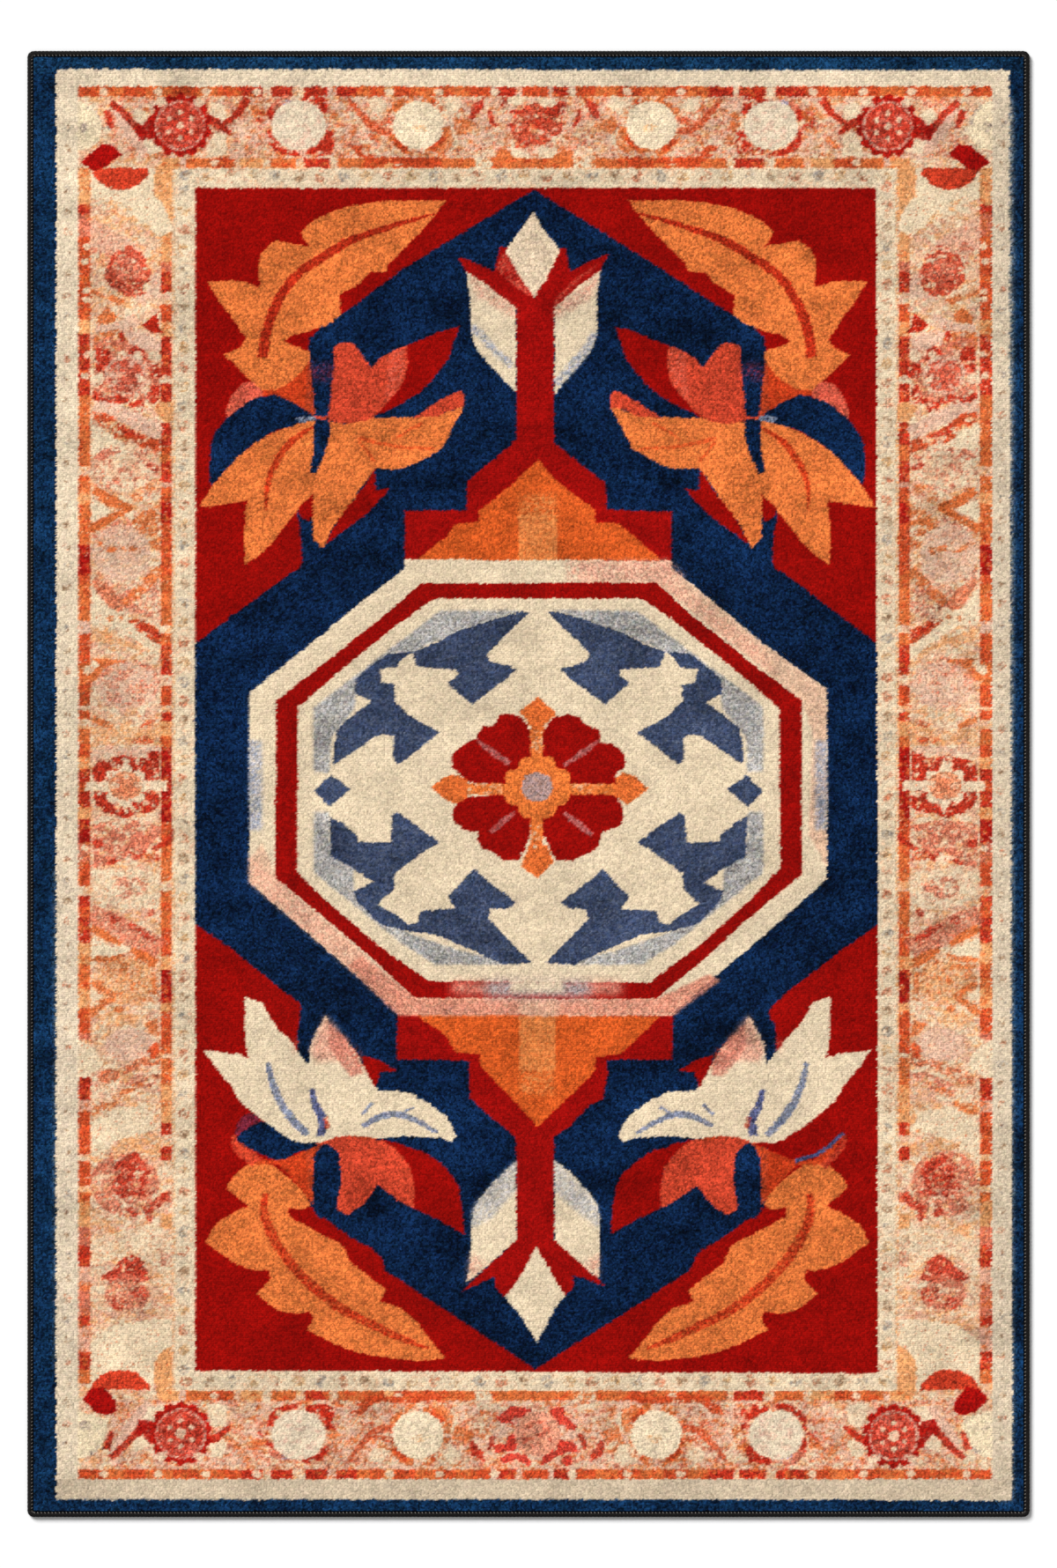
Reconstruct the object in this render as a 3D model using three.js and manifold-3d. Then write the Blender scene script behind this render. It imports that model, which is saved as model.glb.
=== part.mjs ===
// An area rug: cut pile in zones of one design, on a ground of three bonded layers, with a serged rim.
// Frame: millimetres, +Z up, +Y along the length, origin at the middle of the underside.
import * as THREE from "three";
import { mergeVertices } from "three/addons/utils/BufferGeometryUtils.js";
import Module from "manifold-3d";

const wasm = await Module();
wasm.setup();

// Whole rug
const RUG_WIDTH = 1200;
const RUG_LENGTH = 1755;
const CORNER_RADIUS = 8;

// Layers, from the floor up
const SECONDARY_BACKING_THICKNESS = 1.25;
const LATEX_THICKNESS = 0.75;
const PRIMARY_BACKING_THICKNESS = 1;
const PILE_HEIGHT = 5.5;

// Serged rim: yarn wrapped round the edge of the primary backing and its latex
const SERGE_WIDTH = 8;
const SERGE_HEIGHT = 7;
const SERGE_YARN_OUTSIDE = 3; // yarn beyond the cut edge of the backing
const SERGE_CLEARANCE = 0.3; // between the cut edge and the yarn that wraps it

// Widths of the four bands of the design, from the rim inwards, side by side as the pattern lies
const BANDS = [
  { name: "navy_border", colour: 0x17304f, left: 27, right: 15, top: 15.5, bottom: 15 },
  { name: "ivory_guard", colour: 0xe2cdab, left: 26.5, right: 23, top: 19.5, bottom: 23 },
  { name: "main_border", colour: 0xdf9f73, left: 113, right: 112, top: 98, bottom: 105.5 },
  { name: "inner_guard", colour: 0xdcbd94, left: 27, right: 25, top: 23.5, bottom: 23 },
];

// Medallion: an octagon in the field, placed by its margins across the rug and by its length along it
const MEDALLION_MARGIN_LEFT = 64;
const MEDALLION_MARGIN_RIGHT = 60;
const MEDALLION_LENGTH = 545;
const MEDALLION_SHIFT = -8.5; // of its centre from the field's centre, along Y
const MEDALLION_CUT_X = 186; // how far each slanted corner runs across
const MEDALLION_CUT_Y = 156; // and along
const SHEAR_LINE = 0.3; // groove between the medallion and the spandrels at its slanted corners

// Finishes of what isn't a band of the design
const FIELD_RED = 0xa51410;
const MEDALLION_SLATE = 0x4a5f85;
const SPANDREL_NAVY = 0x14294a;
const SERGING_YARN = { colour: 0x1d1b1a, roughness: 0.7 };
const BACKING_CLOTH = { colour: 0xb9ab92, roughness: 0.9 };
const LATEX = { colour: 0xcfc6b4, roughness: 0.6 };
const GROUND_CLOTH = { colour: 0xd8cdb8, roughness: 0.9 };
const PILE_ROUGHNESS = 0.95;

const ARC_STEPS = 6; // half the straight steps of a quarter arc

// Heights of the layer faces
const LATEX_BOTTOM = SECONDARY_BACKING_THICKNESS;
const PRIMARY_BOTTOM = LATEX_BOTTOM + LATEX_THICKNESS;
const PILE_BOTTOM = PRIMARY_BOTTOM + PRIMARY_BACKING_THICKNESS;
const PILE_TOP = PILE_BOTTOM + PILE_HEIGHT;

const rug = new THREE.Group();
const ground = new THREE.Group();
const pile = new THREE.Group();
const rim = new THREE.Group();
rug.add(ground, pile, rim);

// The rectangle left when each side of another is moved in by its own distance.
function inset(rect, { left, right, top, bottom }) {
  return {
    x0: rect.x0 + left,
    x1: rect.x1 - right,
    y0: rect.y0 + bottom,
    y1: rect.y1 - top,
  };
}

function insetAll(rect, distance) {
  return inset(rect, { left: distance, right: distance, top: distance, bottom: distance });
}

// A closed plan outline through corner points.
function polygon(points) {
  return new THREE.Shape(points.map(([x, y]) => new THREE.Vector2(x, y)));
}

function rectangle({ x0, x1, y0, y1 }) {
  return polygon([
    [x0, y0],
    [x1, y0],
    [x1, y1],
    [x0, y1],
  ]);
}

// A rectangle with an arc of one radius at each corner.
function roundedRectangle({ x0, x1, y0, y1 }, radius) {
  const quarter = Math.PI / 2;
  const shape = new THREE.Shape();
  shape.absarc(x1 - radius, y1 - radius, radius, 0, quarter);
  shape.absarc(x0 + radius, y1 - radius, radius, quarter, 2 * quarter);
  shape.absarc(x0 + radius, y0 + radius, radius, 2 * quarter, 3 * quarter);
  shape.absarc(x1 - radius, y0 + radius, radius, 3 * quarter, 4 * quarter);
  return shape;
}

// A flat prism of a plan outline between two heights. The heights are written as they are given,
// so that two prisms with a height or an edge in common meet face to face.
function prism(outline, bottom, top) {
  const geometry = new THREE.ExtrudeGeometry(outline, {
    depth: top - bottom,
    bevelEnabled: false,
    curveSegments: ARC_STEPS,
  });
  const position = geometry.getAttribute("position");
  const middle = (top - bottom) / 2;
  for (let i = 0; i < position.count; i++) {
    position.setZ(i, position.getZ(i) < middle ? bottom : top);
  }
  return geometry;
}

function addPiece(group, name, geometry, { colour, roughness }) {
  const material = new THREE.MeshStandardMaterial({ color: colour, roughness, metalness: 0 });
  const mesh = new THREE.Mesh(geometry, material);
  mesh.name = name;
  group.add(mesh);
}

function addPile(name, outline, colour) {
  const finish = { colour, roughness: PILE_ROUGHNESS };
  addPiece(pile, `${name}_pile`, prism(outline, PILE_BOTTOM, PILE_TOP), finish);
}

function toSolid(geometry) {
  const bare = geometry.clone().deleteAttribute("normal").deleteAttribute("uv");
  const merged = mergeVertices(bare);
  return new wasm.Manifold(
    new wasm.Mesh({
      numProp: 3,
      vertProperties: merged.getAttribute("position").array,
      triVerts: new Uint32Array(merged.index.array),
    }),
  );
}

function toGeometry(solid) {
  const { vertProperties, triVerts } = solid.getMesh();
  const geometry = new THREE.BufferGeometry();
  geometry.setAttribute("position", new THREE.BufferAttribute(vertProperties, 3));
  geometry.setIndex(new THREE.BufferAttribute(triVerts, 1));
  const flat = geometry.toNonIndexed();
  flat.computeVertexNormals();
  return flat;
}

const rugRect = {
  x0: -RUG_WIDTH / 2,
  x1: RUG_WIDTH / 2,
  y0: -RUG_LENGTH / 2,
  y1: RUG_LENGTH / 2,
};
const innerRect = insetAll(rugRect, SERGE_WIDTH); // inside the rim
const clothRect = insetAll(rugRect, SERGE_YARN_OUTSIDE); // the cut edge that the yarn wraps

// Ground: the secondary backing ends at the rim, so that the serging lies level with it on the floor.
// The latex and the primary backing run on into the rim.
function buildGround() {
  const cloth = roundedRectangle(clothRect, CORNER_RADIUS - SERGE_YARN_OUTSIDE);
  const secondary = prism(rectangle(innerRect), 0, LATEX_BOTTOM);
  const latex = prism(cloth, LATEX_BOTTOM, PRIMARY_BOTTOM);
  const primary = prism(cloth, PRIMARY_BOTTOM, PILE_BOTTOM);
  addPiece(ground, "secondary_backing", secondary, BACKING_CLOTH);
  addPiece(ground, "latex_coat", latex, LATEX);
  addPiece(ground, "primary_backing", primary, GROUND_CLOTH);
}

// One strip for each side of the ring between two rectangles: the end strips run the full width,
// and the side strips stand between them.
function ringStrips(outer, inner) {
  return {
    top: { x0: outer.x0, x1: outer.x1, y0: inner.y1, y1: outer.y1 },
    bottom: { x0: outer.x0, x1: outer.x1, y0: outer.y0, y1: inner.y0 },
    left: { x0: outer.x0, x1: inner.x0, y0: inner.y0, y1: inner.y1 },
    right: { x0: inner.x1, x1: outer.x1, y0: inner.y0, y1: inner.y1 },
  };
}

// Bands of the design from the rim inwards. Returns the field that they enclose.
function buildBands() {
  let outer = innerRect;
  for (const band of BANDS) {
    const inner = inset(outer, band);
    for (const [side, strip] of Object.entries(ringStrips(outer, inner))) {
      addPile(`${band.name}_${side}`, rectangle(strip), band.colour);
    }
    outer = inner;
  }
  return outer;
}

// Field: a panel at each end, a strip at each side, and the medallion with a triangular spandrel
// outside each of its slanted corners.
function buildField(field) {
  const middle = (field.y0 + field.y1) / 2 + MEDALLION_SHIFT;
  const box = {
    x0: field.x0 + MEDALLION_MARGIN_LEFT,
    x1: field.x1 - MEDALLION_MARGIN_RIGHT,
    y0: middle - MEDALLION_LENGTH / 2,
    y1: middle + MEDALLION_LENGTH / 2,
  };
  for (const [side, strip] of Object.entries(ringStrips(field, box))) {
    addPile(`field_${side}`, rectangle(strip), FIELD_RED);
  }
  const cutX = MEDALLION_CUT_X;
  const cutY = MEDALLION_CUT_Y;
  const octagon = polygon([
    [box.x0 + cutX, box.y0],
    [box.x1 - cutX, box.y0],
    [box.x1, box.y0 + cutY],
    [box.x1, box.y1 - cutY],
    [box.x1 - cutX, box.y1],
    [box.x0 + cutX, box.y1],
    [box.x0, box.y1 - cutY],
    [box.x0, box.y0 + cutY],
  ]);
  addPile("medallion", octagon, MEDALLION_SLATE);

  // The spandrel's long side stands off the medallion's by the shear line.
  const slant = Math.hypot(cutX, cutY);
  const legX = cutX - (SHEAR_LINE * slant) / cutY;
  const legY = cutY - (SHEAR_LINE * slant) / cutX;
  const corners = [
    { name: "top_left", x: box.x0, y: box.y1, inX: 1, inY: -1 },
    { name: "top_right", x: box.x1, y: box.y1, inX: -1, inY: -1 },
    { name: "bottom_left", x: box.x0, y: box.y0, inX: 1, inY: 1 },
    { name: "bottom_right", x: box.x1, y: box.y0, inX: -1, inY: 1 },
  ];
  for (const { name, x, y, inX, inY } of corners) {
    const spandrel = polygon([
      [x, y],
      [x + inX * legX, y],
      [x, y + inY * legY],
    ]);
    addPile(`spandrel_${name}`, spandrel, SPANDREL_NAVY);
  }
}

// Rim: one wrapped yarn seam all the way round, in four runs. Each run is a bar with a slot along its
// inner face, where the edge of the primary backing and its latex go in.
function buildRim() {
  const outline = toSolid(prism(roundedRectangle(rugRect, CORNER_RADIUS), 0, SERGE_HEIGHT));
  const slotDepth = SERGE_YARN_OUTSIDE - SERGE_CLEARANCE;
  const slotOutline = roundedRectangle(insetAll(rugRect, slotDepth), CORNER_RADIUS - slotDepth);
  const slot = toSolid(prism(slotOutline, LATEX_BOTTOM, PILE_BOTTOM));
  for (const [side, strip] of Object.entries(ringStrips(rugRect, innerRect))) {
    const bar = toSolid(prism(rectangle(strip), 0, SERGE_HEIGHT));
    const run = outline.intersect(bar).subtract(slot);
    addPiece(rim, `serged_edge_${side}`, toGeometry(run), SERGING_YARN);
  }
}

buildGround();
buildField(buildBands());
buildRim();

export default rug;
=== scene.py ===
import bpy
import numpy as np
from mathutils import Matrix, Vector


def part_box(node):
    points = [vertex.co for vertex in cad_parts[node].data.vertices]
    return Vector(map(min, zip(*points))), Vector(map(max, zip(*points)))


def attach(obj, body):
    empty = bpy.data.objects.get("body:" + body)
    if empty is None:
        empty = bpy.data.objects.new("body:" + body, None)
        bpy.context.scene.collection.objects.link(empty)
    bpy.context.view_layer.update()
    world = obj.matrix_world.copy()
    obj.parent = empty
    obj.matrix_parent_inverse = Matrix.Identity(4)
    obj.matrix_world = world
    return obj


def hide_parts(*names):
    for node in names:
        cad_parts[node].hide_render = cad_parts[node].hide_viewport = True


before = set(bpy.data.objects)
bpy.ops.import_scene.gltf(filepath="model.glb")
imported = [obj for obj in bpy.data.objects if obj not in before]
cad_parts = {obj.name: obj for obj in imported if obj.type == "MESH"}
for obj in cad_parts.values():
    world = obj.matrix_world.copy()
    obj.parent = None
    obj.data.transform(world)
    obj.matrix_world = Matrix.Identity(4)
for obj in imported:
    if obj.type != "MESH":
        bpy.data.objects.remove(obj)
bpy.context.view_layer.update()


# ---------------------------------------------------------------------------------------------------
# Secondary backing: an open cloth of flat polypropylene tape, bonded under the latex. It is the face
# that lies on the floor, cut to end at the serging. The bond pulls it into shallow dimples.

MM = 0.001
TAPE_PITCH = 3.2 * MM
DIMPLE = 14 * MM  # about how far apart the dimples are
DIMPLE_DEPTH = 0.12 * MM
TAPE_COLOUR = (0.46, 0.385, 0.27, 1)
TAPE_SHADOW = (0.15, 0.12, 0.08, 1)
TAPE_RELIEF = 0.5 * MM
luck = np.random.default_rng(41)


def make_mesh(name, points, loops, starts):
    """A mesh object from an array of points, the point index of each face corner, and the place in
    that list where each face starts."""
    mesh = bpy.data.meshes.new(name)
    mesh.vertices.add(len(points))
    mesh.vertices.foreach_set("co", np.asarray(points, np.float32).ravel())
    mesh.loops.add(len(loops))
    mesh.loops.foreach_set("vertex_index", np.asarray(loops, np.int32))
    mesh.polygons.add(len(starts))
    mesh.polygons.foreach_set("loop_start", np.asarray(starts, np.int32))
    mesh.update(calc_edges=True)
    piece = bpy.data.objects.new(name, mesh)
    bpy.context.scene.collection.objects.link(piece)
    return piece


def grid_faces(index):
    """The four corners of every cell of a grid of point indices, counter-clockwise where the second
    axis of the grid runs to the right and the first one up."""
    return np.stack([index[:-1, :-1], index[:-1, 1:], index[1:, 1:], index[1:, :-1]], -1).reshape(-1, 4)


def grid_border(index):
    """The outer points of a grid of point indices, once round, counter-clockwise."""
    return np.concatenate([index[0], index[1:, -1], index[-1, -2::-1], index[-2:0:-1, 0]])


def layer(name, width, length, radius, step, top, bottom):
    """A closed layer of the ground with round corners. Its rows run across the rug and get shorter
    over the last stretch, as radius minus the root of radius squared less distance squared. Its
    faces lie at top and bottom, dented by a random depth at each point of the grid."""
    straight = length / 2 - radius
    bend = radius * np.sin(np.radians([30, 60, 90])) if radius else np.array([])
    even = np.linspace(-straight, straight, round(2 * straight / step))
    y = np.concatenate([-straight - bend[::-1], even, straight + bend])
    past = np.clip(np.abs(y) - straight, 0, radius)
    half = width / 2 - radius + np.sqrt(radius**2 - past**2)
    share = np.linspace(-1, 1, round(width / step))
    x = half[:, None] * share
    y = np.broadcast_to(y[:, None], x.shape)
    dent = DIMPLE_DEPTH * luck.random((2,) + x.shape)
    heights = (top - dent[0], bottom + dent[1])
    points = np.concatenate([np.stack([x, y, z], -1).reshape(-1, 3) for z in heights])
    index = np.arange(x.size).reshape(x.shape)
    edge = grid_border(index)
    sides = np.stack([edge, edge + x.size, np.roll(edge, -1) + x.size, np.roll(edge, -1)], -1)
    faces = np.concatenate([grid_faces(index), grid_faces(index)[:, ::-1] + x.size, sides])
    return make_mesh(name, points, faces.ravel(), np.arange(0, faces.size, 4))


def add(tree, kind, feeds=(), **settings):
    """A new shader node in a tree, with its settings. Feeds gives its inputs by name or number, each
    a value or another node's output."""
    made = tree.nodes.new(kind)
    for name, value in settings.items():
        setattr(made, name, value)
    for socket, feed in dict(feeds).items():
        if isinstance(feed, bpy.types.NodeSocket):
            tree.links.new(feed, made.inputs[socket])
        else:
            made.inputs[socket].default_value = feed
    return made


def maths(tree, operation, *terms):
    """The output of a Math node on one to three terms, each a number or another node's output."""
    return add(tree, "ShaderNodeMath", dict(enumerate(terms)), operation=operation).outputs[0]


def tinted(tree, first, second, share):
    """The output of a colour mix of two colours, each a value or an output, by a share from 0 to 1."""
    feeds = {"Factor": share, "A": first, "B": second}
    mix = add(tree, "ShaderNodeMix", data_type="RGBA", clamp_factor=True)
    for name, feed in feeds.items():
        socket = next(s for s in mix.inputs if s.name == name and s.enabled)
        if isinstance(feed, bpy.types.NodeSocket):
            tree.links.new(feed, socket)
        else:
            socket.default_value = feed
    return next(s for s in mix.outputs if s.enabled)


def new_group(name, inputs, outputs):
    """An empty shader node group with named float, colour or vector sockets. Returns its tree, its
    input node and its output node."""
    tree = bpy.data.node_groups.new(name, "ShaderNodeTree")
    for direction, sockets in (("INPUT", inputs), ("OUTPUT", outputs)):
        for socket, kind in sockets.items():
            tree.interface.new_socket(socket, in_out=direction, socket_type="NodeSocket" + kind)
    return tree, tree.nodes.new("NodeGroupInput"), tree.nodes.new("NodeGroupOutput")


def new_material(name, **constants):
    """A material with a Principled BSDF whose constant sockets are set here. Returns it, its tree
    and the BSDF node."""
    material = bpy.data.materials.new(name)
    material.use_nodes = True
    tree = material.node_tree
    bsdf = next(n for n in tree.nodes if n.type == "BSDF_PRINCIPLED")
    for socket, value in constants.items():
        bsdf.inputs[socket.replace("_", " ")].default_value = value
    return material, tree, bsdf


# Weave: tapes or threads a pitch apart that pass over and under each other. Over is high where the
# crosswise one is on top: half plus half of sine times sine. Gap is high at the edges of the tapes.
weave, given, result = new_group("weave", {"Pitch": "Float"}, {"Over": "Float", "Gap": "Float"})
place = add(weave, "ShaderNodeTexCoord").outputs["Object"]
axes = add(weave, "ShaderNodeSeparateXYZ", {0: place})
waves = []
for axis in "XY":
    turns = maths(weave, "DIVIDE", axes.outputs[axis], given.outputs["Pitch"])
    waves.append(maths(weave, "SINE", maths(weave, "MULTIPLY", turns, np.pi)))
weave.links.new(
    maths(weave, "MULTIPLY_ADD", maths(weave, "MULTIPLY", *waves), 0.5, 0.5), result.inputs["Over"]
)
nearest = maths(weave, "MINIMUM", *(maths(weave, "ABSOLUTE", wave) for wave in waves))
weave.links.new(maths(weave, "SUBTRACT", 1.0, maths(weave, "POWER", nearest, 0.4)), result.inputs["Gap"])


def woven_material(name, pitch, colour, shadow, height, **constants):
    """Cloth of a weave with its pitch, the colour of its threads, a painted shadow colour for the gaps
    between them, and the height of its relief. Each stretch of thread has its own shade."""
    material, tree, bsdf = new_material(name, **constants)
    threads = add(tree, "ShaderNodeGroup", node_tree=weave)
    threads.inputs["Pitch"].default_value = pitch
    over, gap = threads.outputs["Over"], threads.outputs["Gap"]
    place = add(tree, "ShaderNodeTexCoord").outputs["Object"]
    blotches = {"Vector": place, "Scale": 0.45 / pitch, "Detail": 4.0}
    shade = add(tree, "ShaderNodeTexNoise", blotches).outputs[0]
    pale = tuple(min(1.0, 1.35 * c) for c in colour)
    threads_colour = tinted(tree, colour, pale, maths(tree, "MULTIPLY", shade, over))
    # painted shadow: the gaps between the threads take the shadow colour
    tree.links.new(tinted(tree, threads_colour, shadow, gap), bsdf.inputs["Base Color"])
    relief = maths(tree, "SUBTRACT", over, maths(tree, "MULTIPLY", gap, 1.6))
    bump = add(tree, "ShaderNodeBump", {"Height": relief, "Distance": height, "Strength": 0.8})
    tree.links.new(bump.outputs[0], bsdf.inputs["Normal"])
    tree.links.new(maths(tree, "MULTIPLY_ADD", shade, 0.25, 0.55), bsdf.inputs["Roughness"])
    return material


low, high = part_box("secondary_backing")
backing = layer("backing_cloth", high.x - low.x, high.y - low.y, 0, DIMPLE, high.z, low.z)
backing_tape = woven_material("backing_tape", TAPE_PITCH, TAPE_COLOUR, TAPE_SHADOW, TAPE_RELIEF)
backing.data.materials.append(backing_tape)
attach(backing, "root")
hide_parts("secondary_backing")

# ---------------------------------------------------------------------------------------------------
# Latex coat: foamed latex spread over the back of the tufts, then dried. It locks them and bonds the
# two backings, and runs on into the serging.

CLOTH_RADIUS = 5 * MM
LATEX_COLOUR = (0.62, 0.56, 0.46, 1)
PORE_COLOUR = (0.42, 0.37, 0.29, 1)
PORE_SIZE = 2.5 * MM
PORE_DEPTH = 0.2 * MM

low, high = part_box("latex_coat")
latex = layer("latex_layer", high.x - low.x, high.y - low.y, CLOTH_RADIUS, 2 * DIMPLE, high.z, low.z)
dried_latex, tree, bsdf = new_material("dried_latex", Base_Color=LATEX_COLOUR)
place = add(tree, "ShaderNodeTexCoord").outputs["Object"]
pores = add(tree, "ShaderNodeTexVoronoi", {"Vector": place, "Scale": 1 / PORE_SIZE}).outputs["Distance"]
tree.links.new(tinted(tree, LATEX_COLOUR, PORE_COLOUR, pores), bsdf.inputs["Base Color"])
tree.links.new(maths(tree, "MULTIPLY_ADD", pores, 0.3, 0.45), bsdf.inputs["Roughness"])
pitted = add(tree, "ShaderNodeBump", {"Height": pores, "Distance": PORE_DEPTH, "Strength": 0.6})
tree.links.new(pitted.outputs[0], bsdf.inputs["Normal"])
latex.data.materials.append(dried_latex)
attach(latex, "root")
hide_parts("latex_coat")

# ---------------------------------------------------------------------------------------------------
# Primary backing: a close cloth of woven tape that the gun punches the tufts through. Its cut edge
# is what the serging wraps.

PUNCHED_PITCH = 1.2 * MM
PUNCHED_COLOUR = (0.66, 0.59, 0.46, 1)
PUNCHED_SHADOW = (0.30, 0.26, 0.19, 1)
PUNCHED_RELIEF = 0.2 * MM

low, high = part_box("primary_backing")
ground = layer("ground_cloth", high.x - low.x, high.y - low.y, CLOTH_RADIUS, 2 * DIMPLE, high.z, low.z)
punched_cloth = woven_material(
    "punched_cloth", PUNCHED_PITCH, PUNCHED_COLOUR, PUNCHED_SHADOW, PUNCHED_RELIEF
)
ground.data.materials.append(punched_cloth)
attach(ground, "root")
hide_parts("primary_backing")

# ---------------------------------------------------------------------------------------------------
# Navy border: the outermost band of pile. All the pile is tufted from one chart, made here, whose
# lengths are in millimetres. It has a cell for each place of the gun, and each cell holds a yarn: its
# red, green and blue as a dyer's card gives them, and how strongly the strands in it differ.

CELL_X = 1.0
CELL_Y = 1.2
PILE_LOW = np.array(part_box("navy_border_bottom_pile")[0])[:2] / MM
PILE_HIGH = np.array(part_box("navy_border_top_pile")[1])[:2] / MM
chart_x = np.arange(PILE_LOW[0], PILE_HIGH[0] + CELL_X, CELL_X)
chart_y = np.arange(PILE_LOW[1], PILE_HIGH[1] + CELL_Y, CELL_Y)
chart = np.zeros((len(chart_y), len(chart_x), 4), np.float32)


def haze(across, along):
    """Smooth noise over the chart, mean 0 and spread 1: random values on a coarse net with meshes
    across by along millimetres, joined by cosine steps between the knots of the net."""
    columns = (chart_x - chart_x[0]) / across
    rows = (chart_y - chart_y[0]) / along
    net = luck.standard_normal((int(rows[-1]) + 2, int(columns[-1]) + 2)).astype(np.float32)
    i, j = rows.astype(int), columns.astype(int)
    s = (0.5 - 0.5 * np.cos(np.pi * (rows - i)))[:, None]
    t = (0.5 - 0.5 * np.cos(np.pi * (columns - j)))[None, :]
    low = net[i][:, j] * (1 - t) + net[i][:, j + 1] * t
    high = net[i + 1][:, j] * (1 - t) + net[i + 1][:, j + 1] * t
    field = low * (1 - s) + high * s
    return (field / field.std()).astype(np.float32)


# Where each tuft really stands: edges wander by a tuft and are stepped by single ones. Blend says how
# well a tuft takes a mixed yarn, and patch where small patches lie.
WANDER = 0.45
STEP = 0.35
stand_x = chart_x[None, :] + WANDER * haze(3.2, 3.0) + STEP * haze(CELL_X, CELL_Y)
stand_y = chart_y[:, None] + WANDER * haze(3.0, 3.2) + STEP * haze(CELL_X, CELL_Y)
blend = 0.6 * haze(2.4, 2.4) + 0.8 * haze(CELL_X, CELL_Y)
patch = 0.75 * haze(8, 5) + 0.65 * haze(2.6, 2.6)
EDGE_REACH = 5  # further than any tuft stands from its place
MIX_SPREAD = 0.9  # how unevenly a mix takes, from tuft to tuft
PATCH_EDGE = 1.4  # how sharply a patch ends


def outline(*stops):
    """A closed path through corners. A corner is a pair. A list of pairs between two corners is a
    round stretch: a Catmull-Rom curve runs from one corner through them to the next."""
    stops = list(stops) + [stops[0]]
    path, bend, last = [], [], stops[0]
    for stop in stops[1:]:
        if isinstance(stop, list):
            bend = stop
            continue
        path.append(run(np.array([last, *bend, stop], float))[:-1])
        bend, last = [], stop
    return np.concatenate(path)


def run(points, steps=5):
    """Points on a Catmull-Rom curve through the given ones, a number of steps for each stretch."""
    if len(points) == 2:
        return points
    ends = np.concatenate([2 * points[:1] - points[1:2], points, 2 * points[-1:] - points[-2:-1]])
    a, b, c, d = (ends[k : len(ends) - 3 + k, None] for k in range(4))
    t = (np.arange(steps) / steps)[None, :, None]
    curve = b + 0.5 * t * (c - a + t * (2 * a - 5 * b + 4 * c - d + t * (3 * (b - c) + d - a)))
    return np.concatenate([curve.reshape(-1, 2), points[-1:]])


def rounded(centre, radius, radius_y=None, turn=0, points=28):
    """An ellipse as a path, its first axis turned by a number of degrees."""
    t = np.linspace(0, 2 * np.pi, points, endpoint=False)
    x, y = radius * np.cos(t), (radius_y or radius) * np.sin(t)
    c, s = np.cos(np.radians(turn)), np.sin(np.radians(turn))
    return np.stack([centre[0] + c * x - s * y, centre[1] + s * x + c * y], 1)


def band(points, *widths):
    """A stripe along a curve through points, its width going evenly through the given ones."""
    line = run(np.array(points, float))
    ahead = np.gradient(line, axis=0)
    side = np.stack([-ahead[:, 1], ahead[:, 0]], 1) / np.linalg.norm(ahead, axis=1)[:, None]
    share = np.linspace(0, 1, len(line))
    half = np.interp(share, np.linspace(0, 1, len(widths)), widths)[:, None] / 2
    return np.concatenate([line + side * half, (line - side * half)[::-1]])


def box(x0, x1, y0, y1):
    """A rectangle as a path."""
    return np.array([(x0, y0), (x1, y0), (x1, y1), (x0, y1)], float)


def blurred(raster, reach, axis):
    """The mean of each cell and its neighbours up to a reach before and after it along an axis."""
    return sum(np.roll(raster, step, axis) for step in range(-reach, reach + 1)) / (2 * reach + 1)


def filled(path, u, v, soft=0.0):
    """How far the points u, v are inside a path, from 0 to 1. The path is filled on a fine raster by
    counting the edges that each raster row crosses, and blurred over soft millimetres."""
    fine = 0.5 if np.ptp(path, axis=0).max() < 400 else 1.0
    low = path.min(0) - 1 - 2 * soft
    columns, rows = np.ceil((path.max(0) + 1 + 2 * soft - low) / fine).astype(int)
    height = low[1] + fine * (np.arange(rows) + 0.5)
    ends = np.roll(path, -1, 0)
    edge, row = np.nonzero((path[:, 1, None] <= height) != (ends[:, 1, None] <= height))
    share = (height[row] - path[edge, 1]) / (ends[edge, 1] - path[edge, 1])
    at = path[edge, 0] + share * (ends[edge, 0] - path[edge, 0])
    crossed = np.zeros((rows, columns + 1), np.int32)
    np.add.at(crossed, (row, np.clip(np.rint((at - low[0]) / fine).astype(int), 0, columns)), 1)
    raster = (crossed.cumsum(1) % 2).astype(np.float32)
    for axis in (0, 1) * 2 if soft else ():
        raster = blurred(raster, int(soft / fine), axis)
    i = np.clip(((v - low[1]) / fine).astype(int), 0, rows - 1)
    j = np.clip(((u - low[0]) / fine).astype(int), 0, columns)
    return raster[i, j]


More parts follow.
